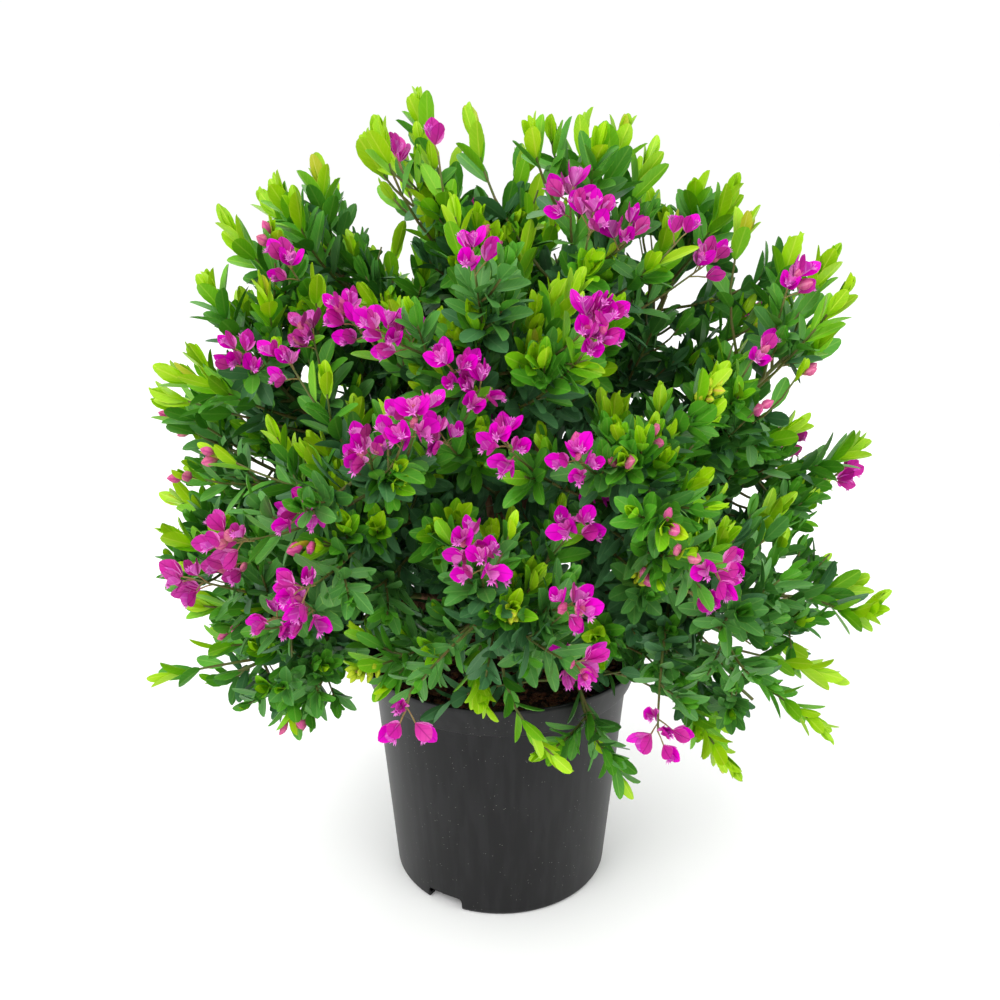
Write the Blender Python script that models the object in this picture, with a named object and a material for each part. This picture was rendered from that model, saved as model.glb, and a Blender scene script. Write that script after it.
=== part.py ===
"""A myrtle-leaf milkwort in flower, in its black nursery pot, modelled in metres with +Z up.

The origin is the centre of the pot's flat underside. The front of the plant faces -Y.
"""

import math
import random

import bmesh
import bpy
from mathutils import Matrix, Vector
from mathutils.bvhtree import BVHTree

# The pot: a tapered body under a flared rim band, with a drain slot at each side of its foot
RIM_RADIUS = 0.120
BAND_FOOT_RADIUS = 0.1105
BODY_TOP_RADIUS = 0.1065
BASE_RADIUS = 0.0915
POT_HEIGHT = 0.209
BAND_HEIGHT = 0.029
SHOULDER_RISE = 0.003
WALL = 0.0022
FLOOR = 0.003
FOOT_BEVEL = 0.003
POT_SIDES = 32
SLOT_WIDTH = 0.033
SLOT_HEIGHT = 0.012
SLOT_DEPTH = 0.016
SLOT_HEADINGS = (239.0, 59.0)

# The potting soil fills the pot to a little under the rim, level at the foot of the trunk
GAP = 0.0003
SAFE_GAP = GAP * 1.2
SOIL_LEVEL = 0.190
SOIL_CROWN = 0.0025
SOIL_DIP = 0.004
LEVEL_RADIUS = 0.030
SLOPE_RADIUS = 0.062
DIP_RADIUS = 0.092
SOIL_CLEARANCE = 0.008

# The trunk: short and leaning, with a flared foot, and the boughs leave it in whorls
TRUNK_FOOT = Vector((0.012, 0.000, SOIL_LEVEL + SOIL_CROWN + GAP))
TRUNK_TOP = Vector((0.002, 0.004, 0.272))
FLARE_RADIUS = 0.0165
TRUNK_RADIUS = 0.0100
TRUNK_TOP_RADIUS = 0.0070
TRUNK_TAPER = (
    (0.0, FLARE_RADIUS),
    (0.05, 0.0135),
    (0.14, TRUNK_RADIUS * 1.1),
    (0.35, TRUNK_RADIUS),
    (0.7, TRUNK_RADIUS * 0.88),
    (1.0, TRUNK_TOP_RADIUS),
)
TRUNK_SIDES = 12
FORK = Vector((0.0, 0.0, 0.255))

# The boughs and the shoots that grow on from them
BOUGH_RADIUS = 0.0034
BOUGH_TIP_RADIUS = 0.0024
BOUGH_OFFSET = 0.0035
BOUGH_SIDES = 5
BOUGH_RINGS = 4
BOUGH_SHARE = 0.42
ARCH_BACK = 0.25
STEM_RADIUS = 0.0023
STEM_TIP_RADIUS = 0.0013
STEM_SIDES = 3
STEM_RINGS = 4
TWIG_RADIUS = 0.0018
TWIG_TIP_RADIUS = 0.0010
TWIG_SIDES = 3
TWIG_RINGS = 3
TWIGS_A_MASS = 5
TWIGS_A_LOOSE_MASS = 3
TWIG_LEAN = 12.0
TWIG_SPREAD = 88.0
LAST_TWIG_SHARE = 0.92
FIRST_TWIG_SHARE = 0.58
TWIG_SAG = 0.12
TWIG_TRIES = 4
GOLDEN_TURN = math.radians(137.508)

# Leaves are about twice the size of life, each standing for a spray of the real ones
LEAF_LENGTH = 0.064
LEAF_WIDTH = 0.034
LEAF_THICKNESS = 0.0024
LEAF_WIDEST = 0.55
LEAF_SINK = 0.0013
LEAVES_A_TWIG = 3
LEAVES_A_STEM = 2
LEAF_OPENING = 62.0
LEAF_CLOSING = 46.0
LAST_LEAF_SHARE = 0.99
LEAFY_SHARE = 0.85
LEAFY_STEM_SHARE = 0.70
TIP_LEAF_SIZE = 0.88
TIP_LEAF_REACH = 0.9
LOOSE_LEAF_SIZE = 0.72
LEAF_TRIES = 5

# A bloom is two wings, and stands for a cluster of the real ones
WING_LENGTH = 0.030
WING_WIDTH = 0.022

# Each mass keeps this far from its neighbours' spaces and from every limb
SPACE_MARGIN = 0.0006
LIMB_MARGIN = 0.0012

# Masses of foliage: name, heading from +X towards the back, lift above level, reach from the fork to
# the furthest leaf, radius of the mass, arch of its limb, whorl on the trunk, and number of blooms
MASSES = (
    ("right_low", -6, 0, 0.330, 0.100, 0.10, 0, 2),
    ("right_mid", 10, 20, 0.322, 0.100, 0.06, 2, 2),
    ("right_high", -10, 43, 0.385, 0.110, -0.02, 3, 3),
    ("right_crest", 16, 61, 0.385, 0.106, -0.04, 4, 2),
    ("crest_right", 322, 76, 0.395, 0.106, -0.03, 5, 3),
    ("crest_left", 196, 83, 0.402, 0.100, -0.03, 5, 2),
    ("left_crest", 168, 64, 0.378, 0.106, -0.04, 4, 2),
    ("left_high", 190, 46, 0.368, 0.108, -0.02, 3, 2),
    ("left_mid", 172, 26, 0.325, 0.102, 0.05, 2, 1),
    ("left_low", 188, 6, 0.308, 0.100, 0.10, 0, 2),
    ("left_skirt", 202, -13, 0.310, 0.080, 0.14, 1, 0),
    ("front_left_low", 224, 14, 0.285, 0.098, 0.08, 2, 2),
    ("front_left", 242, 39, 0.315, 0.106, 0.00, 3, 3),
    ("front_centre", 268, 20, 0.268, 0.098, 0.06, 1, 2),
    ("front_right", 300, 40, 0.315, 0.106, 0.00, 3, 2),
    ("front_right_low", 318, 14, 0.285, 0.098, 0.08, 2, 1),
    ("front_high", 266, 60, 0.345, 0.106, -0.03, 4, 3),
    ("right_skirt", 336, -19, 0.300, 0.084, 0.28, 1, 1),
    ("front_skirt", 300, -24, 0.195, 0.060, 0.46, 0, 1),
    ("back_left_low", 140, 4, 0.300, 0.104, 0.10, 0, 2),
    ("back_low", 92, 8, 0.300, 0.104, 0.08, 1, 2),
    ("back_right_low", 46, 4, 0.305, 0.104, 0.10, 0, 2),
    ("back_left_high", 124, 41, 0.340, 0.110, 0.00, 2, 2),
    ("back_right_high", 60, 41, 0.345, 0.110, 0.00, 2, 2),
    ("back_high", 92, 64, 0.352, 0.106, -0.02, 3, 2),
)
LOOSE_MASSES = ("left_skirt", "right_skirt", "front_skirt")
WHORL_HEIGHTS = (0.209, 0.221, 0.233, 0.245, 0.257, 0.269)


def clear_scene():
    """Takes away whatever the scene holds."""
    for thing in list(bpy.data.objects):
        bpy.data.objects.remove(thing, do_unlink=True)


def material(name, colour, roughness):
    """A Principled finish with its colour and roughness."""
    made = bpy.data.materials.new(name)
    made.use_nodes = True
    shader = made.node_tree.nodes["Principled BSDF"]
    shader.inputs["Base Color"].default_value = (*colour, 1.0)
    shader.inputs["Roughness"].default_value = roughness
    shader.inputs["Metallic"].default_value = 0.0
    return made


def add_object(name, verts, faces, finish, collection=None):
    """An object of these vertices and faces, its normals made to point outwards."""
    mesh = bpy.data.meshes.new(name)
    mesh.from_pydata([tuple(v) for v in verts], [], faces)
    shell = bmesh.new()
    shell.from_mesh(mesh)
    bmesh.ops.recalc_face_normals(shell, faces=shell.faces)
    shell.to_mesh(mesh)
    shell.free()
    if finish is not None:
        mesh.materials.append(finish)
    made = bpy.data.objects.new(name, mesh)
    (collection or bpy.context.scene.collection).objects.link(made)
    return made


def turned(name, profile, sides, finish, height_at=None):
    """A turned solid: the profile, from one point on the axis to another, spun about +Z."""
    shell = bmesh.new()
    points = [shell.verts.new((r, 0.0, z)) for r, z in profile]
    edges = [shell.edges.new(pair) for pair in zip(points, points[1:])]
    bmesh.ops.spin(
        shell, geom=points + edges, axis=(0, 0, 1), cent=(0, 0, 0), steps=sides, angle=math.tau
    )
    bmesh.ops.remove_doubles(shell, verts=shell.verts, dist=1e-6)
    if height_at is not None:
        for vert in shell.verts:
            vert.co.z += height_at(vert.co)
    bmesh.ops.recalc_face_normals(shell, faces=shell.faces)
    mesh = bpy.data.meshes.new(name)
    shell.to_mesh(mesh)
    shell.free()
    mesh.materials.append(finish)
    mesh.shade_smooth()
    mesh.set_sharp_from_angle(angle=math.radians(35))
    made = bpy.data.objects.new(name, mesh)
    bpy.context.scene.collection.objects.link(made)
    return made


def aim(heading, lift):
    """The direction of a heading round +Z and a lift above level, both in degrees."""
    turn, rise = math.radians(heading), math.radians(lift)
    return Vector((math.cos(rise) * math.cos(turn), math.cos(rise) * math.sin(turn), math.sin(rise)))


def bend(course, t):
    """The point at share t of a course, the curve from its root towards its bend and on to its tip."""
    root, middle, tip = course
    return root * (1 - t) ** 2 + middle * (2 * t * (1 - t)) + tip * t**2


def pace(course, t):
    """How fast and which way that curve runs at share t."""
    root, middle, tip = course
    return ((middle - root) * (1 - t) + (tip - middle) * t) * 2


def spaced(first, last, count):
    """Evenly spaced values from first to last."""
    return [first + (last - first) * k / (count - 1) for k in range(count)]


def tube(course, shares, radii, sides):
    """Vertices and faces of a closed tube along a course, with a ring at each of the shares."""
    verts, faces = [], []
    side = pace(course, shares[0]).orthogonal()
    for share, radius in zip(shares, radii):
        ahead = pace(course, share).normalized()
        side = (side - ahead * side.dot(ahead)).normalized()
        across = ahead.cross(side)
        for k in range(sides):
            turn = math.tau * k / sides
            outwards = side * math.cos(turn) + across * math.sin(turn)
            verts.append(bend(course, share) + outwards * radius)
    for low in range(0, len(verts) - sides, sides):
        for k in range(sides):
            after = (k + 1) % sides
            faces.append((low + k, low + after, low + after + sides, low + k + sides))
    faces.append(tuple(reversed(range(sides))))
    faces.append(tuple(range(len(verts) - sides, len(verts))))
    return verts, faces


def blade(root, along, face, length, width):
    """Vertices and faces of one leaf or petal: a flat diamond of eight faces, thickest at its rib."""
    across = along.cross(face).normalized()
    middle = root + along * (length * LEAF_WIDEST)
    verts = [
        root,
        root + along * length,
        middle + across * (width / 2),
        middle - across * (width / 2),
        middle + face * (LEAF_THICKNESS / 2),
        middle - face * (LEAF_THICKNESS / 2),
    ]
    faces = [(0, 2, 4), (2, 1, 4), (1, 3, 4), (3, 0, 4), (2, 0, 5), (1, 2, 5), (3, 1, 5), (0, 3, 5)]
    return verts, faces


def make_pot(finish):
    """The pot: floor, tapered wall and flared rim band in one turned shell, and its drain slots."""
    shoulder = POT_HEIGHT - BAND_HEIGHT
    profile = (
        (0.0, 0.0),
        (BASE_RADIUS - FOOT_BEVEL, 0.0),
        (BASE_RADIUS, FOOT_BEVEL),
        (BODY_TOP_RADIUS, shoulder),
        (BAND_FOOT_RADIUS, shoulder + SHOULDER_RISE),
        (RIM_RADIUS, POT_HEIGHT),
        (RIM_RADIUS - WALL, POT_HEIGHT),
        (BAND_FOOT_RADIUS - WALL, shoulder + SHOULDER_RISE),
        (BODY_TOP_RADIUS - WALL, shoulder),
        (BASE_RADIUS - WALL, FLOOR),
        (0.0, FLOOR),
    )
    pot = turned("pot", profile, POT_SIDES, finish)
    for number, heading in enumerate(SLOT_HEADINGS):
        bpy.ops.mesh.primitive_cube_add(size=1.0)
        cutter = bpy.context.object
        cutter.name = f"drain_slot_cutter_{number}"
        cutter.data.transform(Matrix.Diagonal((SLOT_DEPTH * 2, SLOT_WIDTH, SLOT_HEIGHT * 2, 1.0)))
        cutter.location = aim(heading, 0) * BASE_RADIUS
        cutter.rotation_euler.z = math.radians(heading)
        cutter.hide_render = True
        cutter.display_type = "WIRE"
        cut = pot.modifiers.new(cutter.name, "BOOLEAN")
        cut.operation = "DIFFERENCE"
        cut.object = cutter
    return pot


def pot_inside(z):
    """The radius of the pot's inner wall at a height."""
    shoulder = POT_HEIGHT - BAND_HEIGHT
    if z < shoulder:
        share = (z - FLOOR) / (shoulder - FLOOR)
        return BASE_RADIUS - WALL + (BODY_TOP_RADIUS - BASE_RADIUS) * share
    top = shoulder + SHOULDER_RISE
    if z < top:
        share = (z - shoulder) / SHOULDER_RISE
        return BODY_TOP_RADIUS - WALL + (BAND_FOOT_RADIUS - BODY_TOP_RADIUS) * share
    share = (z - top) / (POT_HEIGHT - top)
    return BAND_FOOT_RADIUS - WALL + (RIM_RADIUS - BAND_FOOT_RADIUS) * share


def soil_bumps(place):
    """Low humps on the open soil, none on its sides or at the foot of the trunk."""
    radius = math.hypot(place.x, place.y)
    if place.z < SOIL_LEVEL - SOIL_DIP or radius < LEVEL_RADIUS or radius > pot_inside(place.z) - 0.01:
        return 0.0
    turn = math.atan2(place.y, place.x)
    return 0.0015 * math.sin(3 * turn + 60 * radius) + 0.0012 * math.cos(5 * turn)


def make_soil(finish):
    """The potting soil, 0.3 mm clear of the pot all round, crowned round the trunk."""
    shoulder = POT_HEIGHT - BAND_HEIGHT
    edge = SOIL_LEVEL - SOIL_DIP
    profile = (
        (0.0, FLOOR + GAP),
        (pot_inside(FLOOR) - SAFE_GAP, FLOOR + GAP),
        (pot_inside(shoulder) - SAFE_GAP, shoulder),
        (pot_inside(edge) - SAFE_GAP, edge),
        (DIP_RADIUS, SOIL_LEVEL - SOIL_DIP / 2),
        (SLOPE_RADIUS, SOIL_LEVEL),
        (LEVEL_RADIUS, SOIL_LEVEL + SOIL_CROWN),
        (0.0, SOIL_LEVEL + SOIL_CROWN),
    )
    return turned("soil", profile, POT_SIDES, finish, soil_bumps)


def trunk_at(height):
    """The centre of the trunk at a height."""
    share = (height - TRUNK_FOOT.z) / (TRUNK_TOP.z - TRUNK_FOOT.z)
    return TRUNK_FOOT.lerp(TRUNK_TOP, share)


def trunk_tube(swell):
    """The trunk's tube, or the same tube a little fatter and longer, to fit the boughs against it."""
    shares = [share for share, radius in TRUNK_TAPER]
    radii = [radius + swell for share, radius in TRUNK_TAPER]
    shares[-1] += swell / (TRUNK_TOP - TRUNK_FOOT).length
    course = (TRUNK_FOOT, TRUNK_FOOT.lerp(TRUNK_TOP, 0.5), TRUNK_TOP)
    verts, faces = tube(course, shares, radii, TRUNK_SIDES)
    for vert in verts[:TRUNK_SIDES]:
        vert.z = TRUNK_FOOT.z
    return verts, faces


class Limb:
    """The course of one limb, from the middle of the trunk to the stem's tip inside its mass."""

    def __init__(self, row):
        self.name, heading, lift, reach, self.spread, arch, whorl, self.blooms = row
        self.loose = self.name in LOOSE_MASSES
        self.leaf_size = LOOSE_LEAF_SIZE if self.loose else 1.0
        self.tip_leaf = LEAF_LENGTH * self.leaf_size * TIP_LEAF_REACH
        towards = aim(heading, lift)
        start = trunk_at(WHORL_HEIGHTS[whorl]) + aim(heading, 0) * BOUGH_OFFSET
        end = FORK + towards * (reach - self.tip_leaf)
        raised = Vector((0, 0, 1)) - aim(heading, 0) * ARCH_BACK
        self.course = (start, start.lerp(end, 0.5) + raised * (arch * reach), end)
        self.hub = FORK + towards * (reach - self.spread)
        self.bough_shares = spaced(0.0, BOUGH_SHARE, BOUGH_RINGS)
        step = SAFE_GAP / pace(self.course, BOUGH_SHARE).length
        self.stem_shares = spaced(BOUGH_SHARE + step, 1.0, STEM_RINGS)

    def bough(self, swell=0.0):
        """The tube of its bare, woody part, or the same tube a little fatter."""
        radii = spaced(BOUGH_RADIUS + swell, BOUGH_TIP_RADIUS + swell, BOUGH_RINGS)
        return tube(self.course, self.bough_shares, radii, BOUGH_SIDES)

    def stem(self):
        """The tube that goes on inside its mass."""
        radii = spaced(STEM_RADIUS, STEM_TIP_RADIUS, STEM_RINGS)
        return tube(self.course, self.stem_shares, radii, STEM_SIDES)


def make_bough(limb, finish, trunk_cutter):
    """One bough, from 0.3 mm off the trunk's surface to where it enters its mass."""
    bough = add_object(f"bough_{limb.name}", *limb.bough(), finish)
    fit = bough.modifiers.new("fit_to_trunk", "BOOLEAN")
    fit.operation = "DIFFERENCE"
    fit.object = trunk_cutter
    return bough


def tree_of(solids):
    """A search tree over the faces of several solids given as vertices and faces."""
    verts, faces = [], []
    for own_verts, own_faces in solids:
        faces += [[i + len(verts) for i in face] for face in own_faces]
        verts += own_verts
    return BVHTree.FromPolygons(verts, faces)


def pot_envelope():
    """A closed skin a little outside the pot and the soil, which foliage stays out of."""
    rings = (
        (BASE_RADIUS, -0.01),
        (RIM_RADIUS, POT_HEIGHT - BAND_HEIGHT),
        (RIM_RADIUS + LIMB_MARGIN, POT_HEIGHT + LIMB_MARGIN),
        (RIM_RADIUS - 2 * WALL, POT_HEIGHT + LIMB_MARGIN),
        (RIM_RADIUS - 3 * WALL, SOIL_LEVEL + SOIL_CLEARANCE * 0.75),
        (LEVEL_RADIUS, SOIL_LEVEL + SOIL_CLEARANCE),
    )
    verts, faces = [], []
    for radius, height in rings:
        for k in range(POT_SIDES):
            turn = math.tau * (k + 0.5) / POT_SIDES
            reach = radius / math.cos(math.pi / POT_SIDES)
            verts.append(Vector((reach * math.cos(turn), reach * math.sin(turn), height)))
    for i in range(len(rings) - 1):
        for k in range(POT_SIDES):
            low, next_low = i * POT_SIDES + k, i * POT_SIDES + (k + 1) % POT_SIDES
            faces.append((low, next_low, next_low + POT_SIDES, low + POT_SIDES))
    return verts, faces


def outside_pot(point):
    """Whether a point is clear of the pot and the soil."""
    radius = math.hypot(point.x, point.y)
    if point.z > POT_HEIGHT + LIMB_MARGIN:
        return True
    if radius > RIM_RADIUS + LIMB_MARGIN:
        return True
    return radius < RIM_RADIUS - 4 * WALL and point.z > SOIL_LEVEL + SOIL_CLEARANCE


class Space:
    """The room of one mass: nearer to its own middle than to any other's, and clear of limbs and pot."""

    def __init__(self, limb, limbs, obstacles):
        self.walls = []
        for other in limbs:
            if other is not limb:
                across = (other.hub - limb.hub).normalized()
                self.walls.append((across, across.dot((other.hub + limb.hub) / 2) - SPACE_MARGIN))
        self.obstacles = obstacles

    def holds(self, verts, faces):
        """Whether a convex piece lies wholly in this space."""
        for vert in verts:
            if not outside_pot(vert):
                return False
            if any(across.dot(vert) > limit for across, limit in self.walls):
                return False
        return not self.obstacles.overlap(BVHTree.FromPolygons(verts, faces))


def twig_course(limb, number, count):
    """Root, bend and tip of one twig: the tips spread over the mass like seeds on a flower head."""
    chance = random.Random(f"{limb.name} twig {number}")
    share = (number + 0.7) / count
    turn = number * GOLDEN_TURN + chance.uniform(-0.3, 0.3)
    ahead = pace(limb.course, 1.0).normalized()
    side = ahead.cross(Vector((0.31, 0.17, 0.93))).normalized()
    across = ahead.cross(side)
    outwards = side * math.cos(turn) + across * math.sin(turn)
    lean = math.radians(TWIG_LEAN + TWIG_SPREAD * share)
    root = bend(limb.course, LAST_TWIG_SHARE + (FIRST_TWIG_SHARE - LAST_TWIG_SHARE) * share)
    length = (limb.spread - limb.tip_leaf) * chance.uniform(0.9, 1.1)
    tip = limb.hub + (ahead * math.cos(lean) + outwards * math.sin(lean)) * length
    sag = Vector((0, 0, 1)) * (TWIG_SAG * (tip - root).length)
    return root, root.lerp(tip, 0.5) + outwards * (0.10 * length) - sag, tip + sag * 0.5


def twigs_of(limb, space):
    """The course and tube of every twig that has room, shortened where it has not."""
    count = TWIGS_A_LOOSE_MASS if limb.loose else TWIGS_A_MASS
    radii = spaced(TWIG_RADIUS, TWIG_TIP_RADIUS, TWIG_RINGS)
    for number in range(count):
        course = twig_course(limb, number, count)
        for attempt in range(TWIG_TRIES):
            twig = tube(course, spaced(0.0, 1.0, TWIG_RINGS), radii, TWIG_SIDES)
            if space.holds(*twig):
                yield course, twig
                break
            root, middle, tip = course
            course = (root, root.lerp(middle, 0.8), root.lerp(tip, 0.8))


def leaf_on(course, share, turn, chance, size):
    """One leaf on a twig: it leaves at an angle that closes towards the twig's tip."""
    ahead = pace(course, share).normalized()
    side = ahead.cross(Vector((0.2, -0.9, 0.4))).normalized()
    outwards = side * math.cos(turn) + ahead.cross(side) * math.sin(turn)
    opening = math.radians(LEAF_OPENING - LEAF_CLOSING * share + chance.uniform(-8, 8))
    along = (ahead * math.cos(opening) + outwards * math.sin(opening)).normalized()
    face = (ahead - along * ahead.dot(along)).normalized()
    root = bend(course, share) - along * LEAF_SINK
    return blade(root, along, face, LEAF_LENGTH * size, LEAF_WIDTH * size)


def wings_on(course, chance):
    """The two wings of one bloom at a twig's tip."""
    turn = chance.uniform(0, math.tau)
    ahead = pace(course, 1.0).normalized()
    side = ahead.orthogonal().normalized()
    side = side * math.cos(turn) + ahead.cross(side) * math.sin(turn)
    root = course[2] - ahead * (2 * LEAF_SINK)
    for way in (1, -1):
        along = (ahead * 0.5 + side * way).normalized()
        face = (ahead - along * ahead.dot(along)).normalized()
        yield blade(root, along, face, WING_LENGTH, WING_WIDTH)


def foliage_pieces(limb, space):
    """Every solid of one mass: stem, twigs, blooms and leaves, as vertices and faces."""
    twigs = list(twigs_of(limb, space))
    leafy_middle = (LEAFY_STEM_SHARE + 1.0) / 2
    stem_end = (bend(limb.course, LEAFY_STEM_SHARE), bend(limb.course, leafy_middle), limb.course[2])
    rods = [(stem_end, limb.stem(), LEAVES_A_STEM, False)]
    rods += [(course, twig, LEAVES_A_TWIG, n < limb.blooms) for n, (course, twig) in enumerate(twigs)]
    yield from (rod for course, rod, leaves, in_bloom in rods)
    trees = [BVHTree.FromPolygons(*rod) for course, rod, leaves, in_bloom in rods]
    placed = []
    for number, (course, rod, leaves, in_bloom) in enumerate(rods):
        chance = random.Random(f"{limb.name} leaves {number}")
        others = trees[:number] + trees[number + 1 :]
        if in_bloom:
            wings = list(wings_on(course, chance))
            in_bloom = all(space.holds(*wing) for wing in wings)
        if in_bloom:
            placed += [BVHTree.FromPolygons(*wing) for wing in wings]
            yield from wings
        for leaf in range(int(in_bloom), leaves):
            share = LAST_LEAF_SHARE - LEAFY_SHARE * leaf / leaves
            size = limb.leaf_size * (TIP_LEAF_SIZE if leaf == 0 else 1.0)
            for attempt in range(LEAF_TRIES):
                turn = (leaf + attempt * leaves) * GOLDEN_TURN + number
                piece = leaf_on(course, share, turn, chance, size)
                tree = BVHTree.FromPolygons(*piece)
                if space.holds(*piece) and not any(tree.overlap(other) for other in others + placed):
                    placed.append(tree)
                    yield piece
                    break


def outer_shell(mesh):
    """Keeps the largest shell of a mesh, so that scraps and sealed hollows go. Says whether it is closed."""
    shell = bmesh.new()
    shell.from_mesh(mesh)
    unseen, groups = set(shell.faces), []
    while unseen:
        group, edge_of_search = [], [unseen.pop()]
        while edge_of_search:
            face = edge_of_search.pop()
            group.append(face)
            for edge in face.edges:
                for neighbour in edge.link_faces:
                    if neighbour in unseen:
                        unseen.remove(neighbour)
                        edge_of_search.append(neighbour)
        groups.append(group)
    groups.sort(key=len)
    doomed = [face for group in groups[:-1] for face in group]
    bmesh.ops.delete(shell, geom=doomed, context="FACES")
    loose = [vert for vert in shell.verts if not vert.link_faces]
    bmesh.ops.delete(shell, geom=loose, context="VERTS")
    closed = all(len(edge.link_faces) == 2 for edge in shell.edges)
    bmesh.ops.triangulate(shell, faces=shell.faces)
    shell.to_mesh(mesh)
    shell.free()
    return closed


def joined(name, pieces, finish, solver):
    """One object from all these pieces, joined by a single union of them."""
    parts = bpy.data.collections.new(f"{name}_pieces")
    bpy.context.scene.collection.children.link(parts)
    body = add_object(name, *pieces[0], finish)
    for number, piece in enumerate(pieces[1:]):
        add_object(f"{name}_piece_{number}", *piece, None, parts)
    union = body.modifiers.new("union", "BOOLEAN")
    union.operation = "UNION"
    union.operand_type = "COLLECTION"
    union.collection = parts
    union.solver = solver
    graph = bpy.context.evaluated_depsgraph_get()
    mesh = bpy.data.meshes.new_from_object(body.evaluated_get(graph))
    body.modifiers.clear()
    body.data = mesh
    for part in list(parts.objects):
        bpy.data.objects.remove(part, do_unlink=True)
    bpy.data.collections.remove(parts)
    return body


def make_foliage(limb, space, finish):
    """One mass of foliage as a single solid."""
    pieces = list(foliage_pieces(limb, space))
    for solver in ("EXACT", "MANIFOLD"):
        mass = joined(f"foliage_{limb.name}", pieces, finish, solver)
        if outer_shell(mass.data):
            return mass
        bpy.data.objects.remove(mass, do_unlink=True)
    raise RuntimeError(f"{limb.name} did not join into one closed solid")


def main():
    clear_scene()
    black_plastic = material("black_plastic", (0.028, 0.029, 0.031), 0.55)
    peat = material("peat", (0.060, 0.036, 0.022), 0.95)
    bark = material("bark", (0.165, 0.105, 0.060), 0.85)
    green_bark = material("green_bark", (0.210, 0.185, 0.070), 0.75)
    leaves = material("leaves", (0.085, 0.230, 0.040), 0.50)
    make_pot(black_plastic)
    make_soil(peat)
    add_object("trunk", *trunk_tube(0.0), bark)
    cutter = add_object("trunk_cutter", *trunk_tube(SAFE_GAP), None)
    cutter.hide_render = True
    cutter.display_type = "WIRE"
    limbs = [Limb(row) for row in MASSES]
    fat_boughs = [limb.bough(LIMB_MARGIN) for limb in limbs]
    obstacles = tree_of([*fat_boughs, trunk_tube(LIMB_MARGIN), pot_envelope()])
    for limb in limbs:
        make_bough(limb, green_bark, cutter)
    for limb in limbs:
        make_foliage(limb, Space(limb, limbs, obstacles), leaves)


main()
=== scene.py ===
"""Looks of a potted myrtle-leaf milkwort: its crown grown on from the limbs, blooms, bark, soil and pot."""

import math
from collections import namedtuple
from functools import partial

import bpy
import numpy as np
from mathutils import Matrix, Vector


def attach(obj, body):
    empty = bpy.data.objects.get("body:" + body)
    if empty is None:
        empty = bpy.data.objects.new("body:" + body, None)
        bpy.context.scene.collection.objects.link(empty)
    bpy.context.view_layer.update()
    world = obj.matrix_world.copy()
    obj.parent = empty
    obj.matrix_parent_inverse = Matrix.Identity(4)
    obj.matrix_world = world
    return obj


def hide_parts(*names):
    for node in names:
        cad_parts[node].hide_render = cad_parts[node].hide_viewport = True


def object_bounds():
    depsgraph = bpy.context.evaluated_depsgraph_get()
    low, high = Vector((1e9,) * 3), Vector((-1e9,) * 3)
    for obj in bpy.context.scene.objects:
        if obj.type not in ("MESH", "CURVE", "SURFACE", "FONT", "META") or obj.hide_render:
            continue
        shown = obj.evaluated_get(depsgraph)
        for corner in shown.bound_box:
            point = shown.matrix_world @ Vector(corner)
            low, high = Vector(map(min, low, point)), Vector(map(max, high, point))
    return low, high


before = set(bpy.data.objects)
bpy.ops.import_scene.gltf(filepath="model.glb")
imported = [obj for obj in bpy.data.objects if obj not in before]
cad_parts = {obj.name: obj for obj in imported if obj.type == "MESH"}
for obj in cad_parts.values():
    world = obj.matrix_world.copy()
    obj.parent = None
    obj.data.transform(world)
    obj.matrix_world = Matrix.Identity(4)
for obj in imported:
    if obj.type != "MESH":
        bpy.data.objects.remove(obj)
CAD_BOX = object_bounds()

# The limbs, from the same named sizes as the solids
SOIL_LEVEL = 0.190
SOIL_CROWN = 0.0025
GAP = 0.0003
TRUNK_FOOT = np.array((0.012, 0.000, SOIL_LEVEL + SOIL_CROWN + GAP))
TRUNK_TOP = np.array((0.002, 0.004, 0.272))
FORK = np.array((0.0, 0.0, 0.255))
FLARE_RADIUS = 0.0165
TRUNK_RADIUS = 0.0100
TRUNK_TOP_RADIUS = 0.0070
BOUGH_RADIUS = 0.0034
BOUGH_TIP_RADIUS = 0.0024
BOUGH_OFFSET = 0.0035
BOUGH_SHARE = 0.42
WHORL_HEIGHTS = (0.209, 0.221, 0.233, 0.245, 0.257, 0.269)
SOLID_LEAF_LENGTH = 0.064
LOOSE_LEAF_SIZE = 0.72
TWIG_LEAN = 12.0
TWIG_SPREAD = 88.0
GOLDEN_TURN = math.radians(137.508)
UP = np.array((0.0, 0.0, 1.0))

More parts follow.
